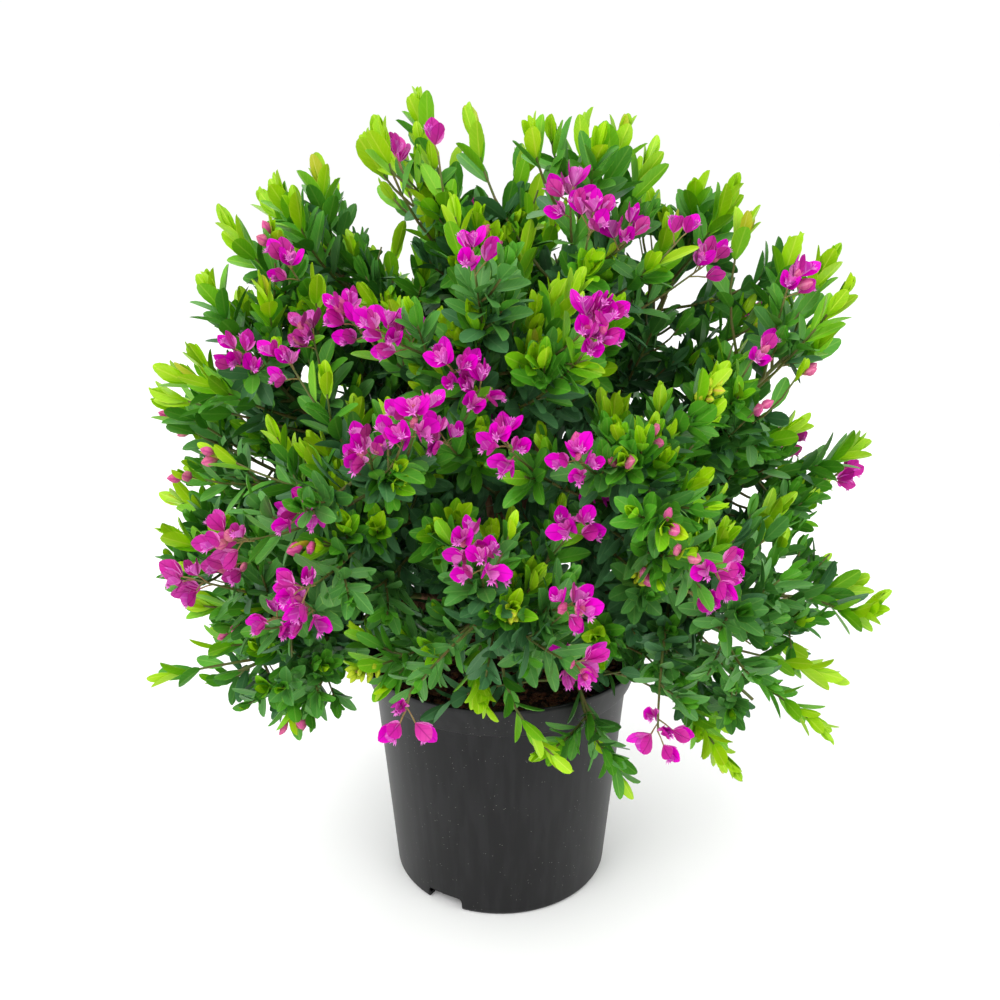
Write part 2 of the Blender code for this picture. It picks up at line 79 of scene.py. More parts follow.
# Masses of foliage: name, heading from +X towards the back, lift above level, reach from the fork,
# radius of the mass, arch of its limb and whorl on the trunk
MASSES = (
    ("right_low", -6, 0, 0.330, 0.100, 0.10, 0),
    ("right_mid", 10, 20, 0.322, 0.100, 0.06, 2),
    ("right_high", -10, 43, 0.385, 0.110, -0.02, 3),
    ("right_crest", 16, 61, 0.385, 0.106, -0.04, 4),
    ("crest_right", 322, 76, 0.395, 0.106, -0.03, 5),
    ("crest_left", 196, 83, 0.402, 0.100, -0.03, 5),
    ("left_crest", 168, 64, 0.378, 0.106, -0.04, 4),
    ("left_high", 190, 46, 0.368, 0.108, -0.02, 3),
    ("left_mid", 172, 26, 0.325, 0.102, 0.05, 2),
    ("left_low", 188, 6, 0.308, 0.100, 0.10, 0),
    ("left_skirt", 202, -13, 0.310, 0.080, 0.14, 1),
    ("front_left_low", 224, 14, 0.285, 0.098, 0.08, 2),
    ("front_left", 242, 39, 0.315, 0.106, 0.00, 3),
    ("front_centre", 268, 20, 0.268, 0.098, 0.06, 1),
    ("front_right", 300, 40, 0.315, 0.106, 0.00, 3),
    ("front_right_low", 318, 14, 0.285, 0.098, 0.08, 2),
    ("front_high", 266, 60, 0.345, 0.106, -0.03, 4),
    ("right_skirt", 336, -19, 0.300, 0.084, 0.28, 1),
    ("front_skirt", 300, -24, 0.195, 0.060, 0.46, 0),
    ("back_left_low", 140, 4, 0.300, 0.104, 0.10, 0),
    ("back_low", 92, 8, 0.300, 0.104, 0.08, 1),
    ("back_right_low", 46, 4, 0.305, 0.104, 0.10, 0),
    ("back_left_high", 124, 41, 0.340, 0.110, 0.00, 2),
    ("back_right_high", 60, 41, 0.345, 0.110, 0.00, 2),
    ("back_high", 92, 64, 0.352, 0.106, -0.02, 3),
)
LOOSE_MASSES = ("left_skirt", "right_skirt", "front_skirt")

# Shoots, their side shoots and their leaves, at the size of life
SHOOTS_A_MASS = 17
SHOOTS_A_LOOSE_MASS = 11
SIDE_SHOOTS = 2
STEM_SHOOT_SHARES = np.linspace(0.02, 0.70, 8)
BOUGH_SHOOT_SHARES = np.array((0.20, 0.28, 0.36))
LEAVES_A_STEM = 24
LEAVES_A_LEADER = 16
LEAVES_A_SHOOT = 23
LEAVES_A_SIDE_SHOOT = 11
LEAVES_A_SPRIG = 12
SIDE_LEAF_SIZE = 0.92
INNER_LEAF_SIZE = 0.80
STEM_LEAF_SIZE = 0.85
LEADER_LEAF_SIZE = 0.99
FRONT_LEADER_LEAF_SIZE = 0.66
LOW_LEADER_LEAF_SIZE = 0.80
LOW_LEAF_SIZE = 0.73
HIGH_LEAF_SIZE = 0.88
SPRIG_LEAF_SIZE = 0.74
LEAF_LENGTH = 0.034
LEAF_WIDTH = 0.0140
TUFT_LENGTH = 0.026
LEAFY_LEADER = 0.085
LEAFY_SHOOT = 0.110
LEAFY_STEM = 1.0
LEAFY_SPRIG = 0.085
SHOOT_ROOM = 0.044
LOOSE_SHOOT_SIZE = 0.95
SPREAD_STEPS = 14
BEND_FOLLOWS = 0.6
SHOOT_RADIUS = 0.0013
SHOOT_TIP_RADIUS = 0.0007
FLOWER_STEP = 0.0036
WING_LENGTH = 0.0163
WING_WIDTH = 0.0106
WING_FOLD = 0.14
WING_THICKNESS = 0.0003
UPPER_PETAL_LENGTH = 0.0105
UPPER_PETAL_WIDTH = 0.0055
KEEL_LENGTH = 0.0130
KEEL_WIDTH = 0.0090
BRUSH_REACH = 0.0100
BRUSH_LENGTH = 0.0048
BRUSH_WIDTH = 0.0012
BRUSH_STRANDS = 8
HEART_DEPTH = 0.004
STALK_LENGTHS = (0.007, 0.012)
STALK_RADII = (0.0006, 0.0005, 0.0006)
BUDS_A_SHOOT = 2
BUD_LENGTH = 0.0125
BUD_STALK = 0.5
FRESH_BUDS_A_SHOOT = 13
FRESH_BUD_LENGTH = 0.0085
FRESH_BUD_STALK = 0.15
FRESH_BUD_STEP = 0.0014
STEM_RADIUS = 0.0023

# How far from a bloom's heart leaves keep, and the least share of its leaves that a shoot stands with
TIP_ROOM = 0.013
MIDDLE_ROOM = 0.011
LEAST_LEAVES = 0.36

# How shoots and leaves keep out of the gaps, in pixels and in shares of a shoot
GAP_MARGIN = 14.0
GAP_SIGHT = 16.0
STEM_MARGIN = 5.0
STEM_SHARES = (0.35, 0.50, 0.65)
CROSSING_SHARES = np.array((0.4, 0.5, 0.6, 0.7, 0.8))
CROSSING_DEPTH = 2.0
LEAF_SHARES = np.array((0.1, 0.4, 0.7, 1.0))[:, None]
LEAF_HALF_PIXELS = 1.0

# The camera stands where the photograph was taken from
CAMERA_PLACE = np.array((-0.0006, -0.8447, 0.6364))
CAMERA_PITCH = 19.83
LENS = 40.32
SENSOR = 36.0
PICTURE = 1000.0
PITCH = math.radians(CAMERA_PITCH)
AWAY = np.array((0.0, math.cos(PITCH), -math.sin(PITCH)))
ABOVE = np.array((0.0, math.sin(PITCH), math.cos(PITCH)))
FOCAL = LENS / SENSOR * PICTURE
FLOOR_SIZE = 60.0

# The pot
RIM_RADIUS = 0.120
BAND_FOOT_RADIUS = 0.1105
BODY_TOP_RADIUS = 0.1065
BASE_RADIUS = 0.0915
POT_HEIGHT = 0.209
BAND_HEIGHT = 0.029
SHOULDER_RISE = 0.003
WALL = 0.0022
FLOOR = 0.003
SLOT_WIDTH = 0.033
SLOT_HEIGHT = 0.012
SLOT_DEPTH = 0.016
SLOT_HEADINGS = (239.0, 59.0)
POT_SIDES = 160

# The soil: rings and sides of its surface, its edge, its bark chips and the ranges of their half sizes
SOIL_GRID = (70, 220)
SOIL_EDGE = 0.1068
SOIL_DEPTH = 0.007
CHIPS = 520
CHIP_SIZES = ((0.002, 0.0058), (0.001, 0.003), (0.0004, 0.0011))

# The bark: sides and rings of its tubes, depth of its relief as a share of the radius, and its waves, as
# height, number round the limb and number along it
TRUNK_SIDES = 48
TRUNK_RINGS = 40
TRUNK_RELIEF = 0.028
BOUGH_SIDES = 14
BOUGH_RINGS = 18
BOUGH_RELIEF = 0.03
BARK_WAVES = ((1.0, 5, 9), (0.7, 9, -14), (0.6, 3, 31), (0.5, 13, 47))

# Where blooms show in the photograph, as column, row, number of flowers and fading, in its 1000 by 1000 frame
BLOOM_PIXELS = np.array((
    (852, 472, 5, 0), (379, 735, 3, 0), (664, 740, 5, 0), (203, 530, 5, 1), (236, 332, 5, 0),
    (272, 338, 4, 0), (330, 290, 6, 0), (364, 316, 6, 0), (390, 318, 2, 0), (308, 310, 4, 1),
    (452, 350, 5, 0), (486, 362, 5, 0), (422, 398, 6, 0), (442, 424, 4, 0), (490, 424, 6, 0),
    (366, 430, 5, 0), (392, 428, 2, 0), (606, 292, 5, 0), (608, 318, 5, 0), (572, 170, 5, 0),
    (588, 192, 5, 0), (572, 448, 5, 0), (600, 470, 4, 0), (588, 505, 4, 0), (470, 520, 5, 0),
    (484, 550, 5, 0), (280, 588, 5, 0), (298, 608, 4, 0), (262, 606, 4, 0), (172, 568, 5, 1),
    (214, 554, 2, 1), (280, 500, 5, 0), (588, 668, 4, 0), (582, 674, 2, 0), (737, 568, 5, 0),
    (716, 592, 2, 0), (832, 438, 1, 1), (720, 242, 4, 0), (692, 215, 2, 0), (638, 212, 4, 0),
    (803, 262, 4, 0), (278, 244, 4, 0), (470, 228, 4, 0), (592, 600, 4, 0), (393, 138, 2, 1),
    (435, 126, 1, 1), (764, 332, 2, 0), (482, 402, 2, 0),
))
BUD_PIXELS = np.array((
    (264, 213), (480, 267), (299, 533), (684, 512), (690, 556), (635, 442), (668, 430), (648, 407),
    (815, 360), (775, 392), (168, 465), (158, 415), (195, 435), (190, 398), (208, 633), (276, 727),
    (305, 743), (500, 222), (640, 552), (436, 372),
))
FRESH_BUD_PIXELS = np.array((
    (540, 580), (500, 592), (622, 563), (722, 355), (792, 292), (332, 668), (800, 238),
))

# Where pale young tufts stand out of the darker leaves in the photograph, as column and row
YOUNG_TUFT_PIXELS = np.array((
    (305, 425), (345, 428), (270, 425), (335, 470), (245, 380), (262, 395), (470, 315), (362, 275),
    (305, 255), (590, 262), (545, 290), (560, 325), (622, 282), (618, 385), (738, 315), (762, 300),
    (790, 310), (662, 412), (530, 212), (450, 185), (500, 222), (462, 500), (490, 510), (430, 350),
    (600, 640), (250, 270), (215, 280), (640, 408), (720, 470), (740, 520), (545, 545), (410, 115),
    (435, 300), (230, 600), (240, 645),
))

# The shoots that lead the outline in the photograph: the tip's column and row, those of a place further
# down it, and how young its leaves are, in tenths
LEADER_PIXELS = np.array((
    (148, 690, 200, 655, 5), (175, 608, 245, 600, 8), (148, 525, 205, 545, 9), (165, 498, 225, 508, 8),
    (148, 418, 205, 402, 5), (152, 396, 212, 402, 6), (158, 430, 208, 412, 6), (172, 362, 218, 388, 8),
    (160, 582, 205, 570, 3), (852, 470, 800, 482, 8), (868, 445, 800, 462, 7), (152, 372, 210, 385, 5),
    (190, 340, 222, 388, 7), (228, 205, 250, 270, 9), (197, 272, 240, 320, 7), (284, 175, 292, 240, 8),
    (324, 160, 322, 230, 9), (264, 190, 288, 235, 8), (300, 185, 300, 240, 6), (344, 180, 330, 240, 2),
    (423, 87, 420, 150, 9), (384, 108, 385, 170, 8), (368, 128, 382, 190, 7), (474, 103, 474, 180, 9),
    (455, 148, 452, 200, 4), (497, 178, 478, 230, 1), (530, 107, 535, 170, 5), (560, 112, 546, 165, 6),
    (582, 114, 582, 170, 7), (612, 121, 588, 170, 5), (506, 150, 530, 200, 2), (625, 117, 612, 175, 9),
    (656, 138, 636, 195, 8), (698, 176, 688, 230, 8), (737, 172, 712, 235, 9), (765, 210, 735, 245, 8),
    (776, 225, 778, 270, 1), (798, 232, 780, 280, 6), (848, 253, 800, 285, 12), (858, 266, 820, 325, 11),
    (836, 335, 790, 360, 8), (808, 418, 755, 445, 6), (800, 498, 725, 532, 14), (826, 526, 765, 520, 3),
    (830, 552, 765, 588, 3), (892, 597, 800, 622, 15), (866, 576, 800, 592, 13), (806, 650, 755, 630, 7),
    (850, 684, 775, 650, 13), (832, 752, 790, 680, 11), (744, 790, 695, 705, 13), (738, 725, 695, 700, 10),
    (628, 798, 605, 740, 3), (700, 748, 690, 690, 5), (655, 715, 660, 670, 0), (722, 776, 700, 700, 11),
    (640, 690, 660, 650, 0), (570, 770, 505, 700, 8), (497, 722, 468, 655, 9), (222, 712, 235, 665, 5),
    (345, 728, 300, 705, 0), (358, 698, 300, 690, 0), (378, 712, 396, 668, 3), (424, 716, 420, 672, 0),
    (182, 655, 235, 640, 6), (410, 745, 405, 700, 2), (640, 762, 590, 745, 0), (448, 735, 440, 690, 2),
    (425, 728, 428, 680, 1), (268, 705, 310, 700, 0), (338, 690, 330, 650, 3),
))

# The sprigs over the rim in the photograph: the root's share of the front's middle stem, columns and rows of
# the bend and the tip, how far these stand before the trunk in metres, and the leaves' youth, in tenths
SPRIGS = np.array((
    (0.20, 488, 704, 560, 762, 0.165, 8.0), (0.45, 463, 668, 484, 703, 0.190, 9.0),
))

# Where shoots hang by the rim and before the pot, as the least and the greatest column, and the least row
RIM_PIXELS = (380.0, 645.0, 690.0)

# Where gaps open in the crown in the photograph, on the sky or on the soil, as column, row and radius
GAP_PIXELS = np.array((
    (397, 185, 8), (410, 203, 6), (417, 224, 7), (404, 262, 7), (370, 214, 13), (386, 236, 13),
    (364, 188, 11), (427, 187, 3), (435, 288, 3), (280, 330, 3), (306, 376, 7), (257, 364, 5), (337, 396, 5),
    (447, 150, 9), (463, 173, 5), (497, 195, 11), (506, 175, 8), (548, 150, 6), (536, 178, 6), (545, 197, 6),
    (606, 172, 4), (632, 170, 5), (562, 232, 6), (554, 257, 5), (575, 222, 5), (636, 250, 9), (653, 244, 8),
    (645, 290, 6), (658, 308, 7), (688, 292, 10), (702, 272, 8), (668, 302, 8), (730, 262, 6), (748, 262, 6),
    (740, 284, 4), (735, 345, 8), (765, 362, 5), (776, 372, 9), (811, 315, 5), (663, 338, 6), (681, 391, 4),
    (747, 376, 5), (758, 410, 6), (743, 500, 8), (765, 482, 5), (765, 550, 8), (784, 564, 8), (792, 545, 6),
    (800, 640, 6), (750, 585, 6), (785, 596, 7), (712, 635, 10), (736, 640, 7), (752, 650, 8), (712, 676, 4),
    (747, 690, 8), (650, 660, 6), (638, 692, 10), (657, 702, 8), (628, 735, 7), (245, 415, 6), (188, 437, 5),
    (207, 440, 5), (234, 453, 4), (262, 468, 9), (210, 489, 5), (236, 487, 5), (192, 368, 3), (182, 393, 3),
    (213, 586, 8), (226, 576, 5), (232, 665, 5), (250, 664, 5), (276, 666, 7), (325, 682, 6), (350, 672, 8),
    (362, 690, 9), (220, 690, 8), (290, 730, 5), (254, 713, 9), (206, 668, 5), (202, 648, 4), (440, 700, 6),
    (545, 690, 8), (600, 700, 9), (615, 665, 7), (824, 700, 5), (766, 716, 11), (775, 744, 8),
))

# The crown's outline in the photograph, clockwise from the left of the rim: its furthest tips and its notches
OUTLINE_PIXELS = np.array((
    (365, 700), (345, 730), (325, 730), (285, 755), (262, 730), (225, 712), (190, 702), (143, 692),
    (165, 655), (204, 625), (170, 608), (150, 585), (148, 522), (172, 490), (160, 470), (140, 425),
    (140, 368), (163, 350), (190, 338), (212, 340), (190, 300), (195, 268), (220, 205), (240, 208),
    (262, 188), (288, 174), (325, 160), (345, 180), (366, 150), (366, 125), (384, 108), (400, 118), (423, 86),
    (440, 120), (452, 150), (462, 125), (474, 102), (484, 130), (492, 178), (506, 150), (530, 106),
    (560, 111), (590, 113), (625, 116), (656, 137), (662, 182), (670, 200), (698, 175), (738, 171),
    (765, 209), (778, 224), (802, 232), (860, 265), (838, 335), (800, 372), (784, 385), (785, 405),
    (810, 418), (868, 440), (868, 480), (845, 505), (826, 520), (828, 545), (832, 553), (868, 576),
    (893, 598), (870, 625), (815, 645), (852, 684), (838, 712), (828, 756), (792, 735), (760, 752),
    (742, 784), (700, 760), (660, 770), (628, 799), (600, 780), (570, 788), (536, 775), (500, 738),
    (470, 722), (428, 740), (402, 758), (378, 742),
))
CROWN_MIDDLE_PIXEL = np.array((520.0, 450.0))

# How shoots are chosen and moved to those places: distances in pixels and metres, and the pixels that a metre
# nearer to the camera counts for
OUTLINE_MARGIN = 24.0
NEAR_ENOUGH = 26.0
LEADER_LEEWAY = 18.0
LEADER_REACH = 9.0
LEAF_LEEWAY = -5.0
MOST_STEER = 0.060
MOST_LEAD = 0.070
STEER_NEARNESS = 900.0
LEAD_NEARNESS = 60.0
TUFT_SIGHT = 45
BEFORE_TUFTS = 0.006
BLOOM_FORWARD = 0.022
BUD_FORWARD = 0.018
FRESH_BUD_FORWARD = 0.020
TUFT_FORWARD = 0.018
OLD_LEADER = 3
INSIDE_BOX = 0.008
RIM_STEPS = 14
RIM_STEP = 0.006

# The crown's heart, foot, height and radius, and where its hidden side begins
CROWN_HEART = np.array((0.0, 0.02, 0.36))
CROWN_FOOT = 0.2
CROWN_HEIGHT = 0.4
CROWN_RADIUS = 0.25
HIDDEN_FROM = 0.03
BLOOM_SHARE_ELSEWHERE = 0.25
BUD_SHARE_ELSEWHERE = 0.06
FLOWERS_ELSEWHERE = (3, 6)
BRONZE_SHARE = 0.10

# How young leaves are, from 0 to 1: the range by chance, what height adds, the share that is left in front,
# what a pale tuft has at least, what side shoots lose, and the stems' own; and how far out stems count as
YOUTHS = (-0.40, 0.70)
HIGH_YOUTH = 0.55
FRONT_YOUTH = 0.45
FRONT_TO = 0.02
FRONT_UP_TO = 0.75
TUFT_YOUTH = 0.70
SIDE_YOUTH_LOSS = 0.25
STEM_YOUTH = 0.1
STEM_OUTER = 0.8

# The seed of all the random draws
SEED = 20


def aim(heading, lift):
    """Unit vectors for headings round +Z and lifts above level, in degrees: spherical coordinates."""
    turn, rise = np.radians(heading), np.radians(lift)
    return np.stack((np.cos(rise) * np.cos(turn), np.cos(rise) * np.sin(turn), np.sin(rise) + 0 * turn), -1)


def unit(vectors):
    """Each vector divided by its length."""
    return vectors / np.maximum(np.linalg.norm(vectors, axis=-1, keepdims=True), 1e-12)


def bend(courses, t):
    """Points at shares t of courses: root (1-t)^2 + bend 2t(1-t) + tip t^2."""
    t = np.asarray(t, float)[..., None]
    root, middle, tip = np.moveaxis(courses, -2, 0)
    return root * (1 - t) ** 2 + middle * (2 * t * (1 - t)) + tip * t**2


def pace(courses, t):
    """The derivative of that curve: 2 ((bend - root)(1-t) + (tip - bend) t)."""
    t = np.asarray(t, float)[..., None]
    root, middle, tip = np.moveaxis(courses, -2, 0)
    return 2 * ((middle - root) * (1 - t) + (tip - middle) * t)


def around(axes, turns):
    """Unit vectors square to the axes, turned round them: side cos(turn) + (axis x side) sin(turn)."""
    side = unit(np.cross(axes, np.array((0.31, 0.17, 0.93))))
    turns = np.asarray(turns)[..., None]
    return side * np.cos(turns) + np.cross(axes, side) * np.sin(turns)


class Limb:
    """The course of one limb, from the middle of the trunk to the stem's tip inside its mass."""

    def __init__(self, row):
        self.name, heading, lift, reach, self.spread, arch, whorl = row
        self.loose = self.name in LOOSE_MASSES
        tip_leaf = SOLID_LEAF_LENGTH * (LOOSE_LEAF_SIZE if self.loose else 1.0) * 0.9
        towards, level = aim(heading, lift), aim(heading, 0)
        share = (WHORL_HEIGHTS[whorl] - TRUNK_FOOT[2]) / (TRUNK_TOP[2] - TRUNK_FOOT[2])
        start = TRUNK_FOOT + (TRUNK_TOP - TRUNK_FOOT) * share + level * BOUGH_OFFSET
        end = FORK + towards * (reach - tip_leaf)
        middle = (start + end) / 2 + (UP - level * 0.25) * (arch * reach)
        self.course = np.array((start, middle, end))
        foot = bend(self.course, BOUGH_SHARE)
        self.stem = np.array((foot, foot + pace(self.course, BOUGH_SHARE) * (1 - BOUGH_SHARE) / 2, end))
        self.hub = FORK + towards * (reach - self.spread)


def shoots_of(limb, chance):
    """Courses of a mass's shoots: roots down the stem, tips round the hub like seeds on a flower head."""
    count = SHOOTS_A_LOOSE_MASS if limb.loose else SHOOTS_A_MASS
    number = np.arange(count)
    share = (number + 0.7) / count
    ahead = unit(pace(limb.stem, 1.0))
    outwards = around(np.tile(ahead, (count, 1)), number * GOLDEN_TURN + chance.uniform(-0.3, 0.3, count))
    lean = np.radians(TWIG_LEAN * 0.3 + TWIG_SPREAD * 1.25 * share)[:, None]
    root = bend(limb.stem, 0.95 - 0.78 * share)
    length = (limb.spread - TUFT_LENGTH) * (1.02 - 0.38 * chance.uniform(0, 1, count) ** 1.5)[:, None]
    tip = limb.hub + (ahead * np.cos(lean) + outwards * np.sin(lean)) * length
    sag = UP * (0.12 * np.linalg.norm(tip - root, axis=1))[:, None]
    middle = (root + tip) / 2 + outwards * (0.10 * length) - sag
    return np.stack((root, middle, tip + sag * 0.5), 1)


def side_shoots_of(courses, chance):
    """Courses of side shoots: each leaves its shoot at about 45 degrees and turns up towards its tip."""
    count = len(courses)
    made = []
    for number in range(SIDE_SHOOTS):
        share = 0.32 + 0.26 * number + chance.uniform(-0.06, 0.06, count)
        root = bend(courses, share)
        ahead = unit(pace(courses, share))
        outwards = around(ahead, chance.uniform(0, math.tau, count))
        length = chance.uniform(0.018, 0.040, count)[:, None]
        middle = root + (ahead * 0.5 + outwards * 0.6) * length * 0.6
        tip = root + unit(ahead * 0.75 + outwards * 0.7 + UP * 0.35) * length
        made.append(np.stack((root, middle, tip), 1))
    return np.concatenate(made)


def inner_shoots_of(courses, shares, chance):
    """Courses of short shoots inside the crown, at shares of each limb, turned out and a little up."""
    limbs = np.repeat(courses, len(shares), axis=0)
    share = np.tile(shares, len(courses))
    root = bend(limbs, share)
    ahead = unit(pace(limbs, share))
    outwards = around(ahead, np.tile(np.arange(len(shares)), len(courses)) * GOLDEN_TURN)
    length = chance.uniform(0.035, 0.060, len(limbs))[:, None]
    tip = root + unit(ahead * 0.5 + outwards + UP * 0.25) * length
    return np.stack((root, root + (ahead * 0.2 + outwards) * length * 0.5, tip), 1)


def seen_at(points):
    """Column, row and depth of points in the camera's picture, by the pinhole rule."""
    offset = points - CAMERA_PLACE
    depth = offset @ AWAY
    column = PICTURE / 2 + FOCAL * offset[..., 0] / depth
    row = PICTURE / 2 - FOCAL * (offset @ ABOVE) / depth
    return column, row, depth


def shift_for(points, column, row):
    """The moves, square to the view, that bring points to columns and rows of the picture."""
    now_column, now_row, depth = [values[..., None] for values in seen_at(points)]
    side = np.array((1.0, 0.0, 0.0)) * ((column - now_column) * depth / FOCAL)
    return side + ABOVE * ((now_row - row) * depth / FOCAL)


def tufts_of(courses):
    """Where each shoot's closed tuft of young leaves shows: most of its length beyond the shoot's tip."""
    return courses[:, 2] + unit(pace(courses, 1.0)) * TUFT_LENGTH * 0.8


def move_tips(courses, shift):
    """Moves the tips of courses by the shift, and their bends by a share of it."""
    courses[..., 2, :] += shift
    courses[..., 1, :] += shift * BEND_FOLLOWS


def spread_tips(courses):
    """Moves the shoots' tips apart, round the crown, wherever two stand nearer than the room a shoot takes.

    Each step moves a tip by a third of what it lacks from each such neighbour, square to its own direction
    from the fork, and then back to its own distance from the fork.
    """
    tips = courses[:, 2].copy()
    distance = np.linalg.norm(tips - FORK, axis=1, keepdims=True)
    for _ in range(SPREAD_STEPS):
        gaps = tips[:, None] - tips[None]
        lengths = np.linalg.norm(gaps, axis=2) + np.eye(len(tips))
        lack = np.clip(SHOOT_ROOM - lengths, 0, None) * (1 - np.eye(len(tips)))
        move = (gaps / lengths[..., None] * lack[..., None]).sum(1) / 3
        outwards = unit(tips - FORK)
        move -= outwards * (move * outwards).sum(1, keepdims=True)
        tips = FORK + unit(tips + move - FORK) * distance
    courses[:, 1] += (tips - courses[:, 2]) * 0.55
    courses[:, 2] = tips


def past_outline(points):
    """Where points show round the crown's middle, how far out, and how far out the outline lies that way."""
    outline = OUTLINE_PIXELS - CROWN_MIDDLE_PIXEL
    turns = np.arctan2(outline[:, 1], outline[:, 0])
    order = np.argsort(turns)
    edge = np.hypot(outline[:, 0], outline[:, 1])[order]
    place = np.stack(seen_at(points)[:2], 1) - CROWN_MIDDLE_PIXEL
    allowed = np.interp(np.arctan2(place[:, 1], place[:, 0]), turns[order], edge, period=math.tau)
    return place, np.hypot(place[:, 0], place[:, 1]), allowed


def within_outline(courses):
    """Draws the shoots whose tufts show outside the outline in the photograph in to the crown's middle."""
    place, reach, allowed = past_outline(tufts_of(courses))
    share = np.minimum(1.0, (allowed - OUTLINE_MARGIN) / reach)[:, None]
    goal = CROWN_MIDDLE_PIXEL + place * share
    move_tips(courses, shift_for(tufts_of(courses), goal[:, 0:1], goal[:, 1:2]))


def out_of_gap(points, gap, margin):
    """The moves, square to the view, that bring the points that show in or by a gap past its edge."""
    column, row, radius = gap
    columns, rows = seen_at(points)[:2]
    across, down = columns - column, rows - row
    share = np.clip((radius + margin) / np.maximum(np.hypot(across, down), 1.0), 1.0, None)
    return shift_for(points, (column + across * share)[:, None], (row + down * share)[:, None])


def tufts_out_of_gaps(courses):
    """Moves the shoots whose tufts show in a gap of the crown to the gap's edge."""
    for gap in GAP_PIXELS:
        move_tips(courses, out_of_gap(tufts_of(courses), gap, GAP_MARGIN))


def stems_out_of_gaps(courses, free):
    """Bends the free shoots that show in a gap round it: the bend moves by shift / (2 t (1 - t))."""
    for gap in GAP_PIXELS:
        for share in STEM_SHARES:
            shift = out_of_gap(bend(courses[free], share), gap, STEM_MARGIN)
            courses[free, 1] += shift / (2 * share * (1 - share))


def shows_in_gap(points, margin):
    """Whether points show in a gap of the crown, or no more than a margin of pixels past its edge."""
    columns, rows = seen_at(points)[:2]
    away = np.hypot(columns[..., None] - GAP_PIXELS[:, 0], rows[..., None] - GAP_PIXELS[:, 1])
    return (away < GAP_PIXELS[:, 2] + margin).any(-1)


def in_gap(leaves):
    """Whether each leaf shows in a gap of the crown, by four points along it."""
    along = unit(leaves["along"]) * leaves["length"][:, None]
    points = leaves["roots"][:, None] + along[:, None] * LEAF_SHARES
    return shows_in_gap(points, LEAF_HALF_PIXELS).any(1)


def crosses_gap(courses):
    """Which shoots pass through a gap of the crown, further in than its edge."""
    return shows_in_gap(bend(courses[:, None], CROSSING_SHARES), -CROSSING_DEPTH).any(1)


def inside_box(points):
    """The points, brought inside the box of the solids less a small margin."""
    return np.clip(points, np.array(CAD_BOX[0]) + INSIDE_BOX, np.array(CAD_BOX[1]) - INSIDE_BOX)


def best_shoot(courses, place, taken, nearness):
    """The free shoot whose tuft shows nearest to a place, a metre nearer to the camera counting as pixels.

    Also the move that brings its tuft there, and how far it stands behind the free tufts that show round it.
    """
    columns, rows, depths = seen_at(tufts_of(courses))
    away = np.hypot(columns - place[0], rows - place[1])
    best = int(np.argmin(away + nearness * depths + 1e6 * taken))
    front = depths[(away < TUFT_SIGHT) & ~taken].min(initial=depths[best])
    return best, shift_for(tufts_of(courses)[best], place[0], place[1]), depths[best] - front


def steer(courses, places, taken, forward):
    """Bends the best free shoot towards each place in the picture, and returns their numbers, -1 for none.

    It then comes forward past the tufts that show round it, by at most that many metres. Where no free shoot
    is in reach, any shoot that shows near enough is chosen and stays as it is.
    """
    chosen = []
    for place in places:
        best, shift, behind = best_shoot(courses, place, taken, STEER_NEARNESS)
        if np.linalg.norm(shift) > MOST_STEER:
            columns, rows = seen_at(tufts_of(courses))[:2]
            away = np.hypot(columns - place[0], rows - place[1])
            chosen.append(int(np.argmin(away)) if away.min() < NEAR_ENOUGH else -1)
            continue
        ray = unit(courses[best, 2] + shift - CAMERA_PLACE)
        shift = shift - ray * np.clip(behind + BEFORE_TUFTS, 0, forward)
        move_tips(courses[best], inside_box(courses[best, 2] + shift) - courses[best, 2])
        taken[best] = True
        chosen.append(best)
    return np.array(chosen)


def lead(courses, places, taken):
    """Brings the nearest shoots to the leading tips in the picture, coming from where those shoots come from.

    The tip moves to its place, and the bend lies back towards the place further down, by 0.45 of the shoot's
    length, and 0.35 of the way to the root's depth.
    """
    chosen = []
    for place in places:
        column, row = place[:2] + unit(place[:2] - CROWN_MIDDLE_PIXEL) * LEADER_REACH
        best, shift = best_shoot(courses, (column, row), taken, LEAD_NEARNESS)[:2]
        if np.linalg.norm(shift) > MOST_LEAD:
            chosen.append(-1)
            continue
        course = courses[best]
        tip = inside_box(course[2] + shift)
        back = unit(shift_for(tip, place[2], place[3]) - shift_for(tip, column, row))
        length = np.linalg.norm(tip - course[0])
        depthwise = unit(tip - CAMERA_PLACE)
        lag = (course[0] - tip) @ depthwise
        bend_point = tip + (back * 0.45 * length + depthwise * lag * 0.35)
        tuft = unit(tip - bend_point) * TUFT_LENGTH
        tip = inside_box(tip + tufts_of(courses)[best] - course[2] - tuft)
        courses[best] = np.array((course[0], bend_point, tip))
        taken[best] = True
        chosen.append(best)
    return np.array(chosen)


def sprigs_of(stem):
    """Courses of the sprigs over the rim: root on the stem, bend and tip moved, square to the view."""
    before = np.stack((0 * SPRIGS[:, 5], -SPRIGS[:, 5], 0 * SPRIGS[:, 5] + POT_HEIGHT), 1)
    middles = before + shift_for(before, SPRIGS[:, 1:2], SPRIGS[:, 2:3])
    tips = before + shift_for(before, SPRIGS[:, 3:4], SPRIGS[:, 4:5])
    return np.stack((bend(stem, SPRIGS[:, 0]), middles, tips), 1)


def clear_of_pot(points):
    """Whether points lie clear of the pot's wall and of the soil."""
    radius = np.hypot(points[..., 0], points[..., 1])
    height = points[..., 2]
    shoulder = POT_HEIGHT - BAND_HEIGHT
    outer = np.where(height > shoulder, RIM_RADIUS, BODY_TOP_RADIUS) + 0.002
    within = (radius < RIM_RADIUS - 0.012) & (height > SOIL_LEVEL + 0.006)
    return (height > POT_HEIGHT + 0.002) | (radius > outer) | within


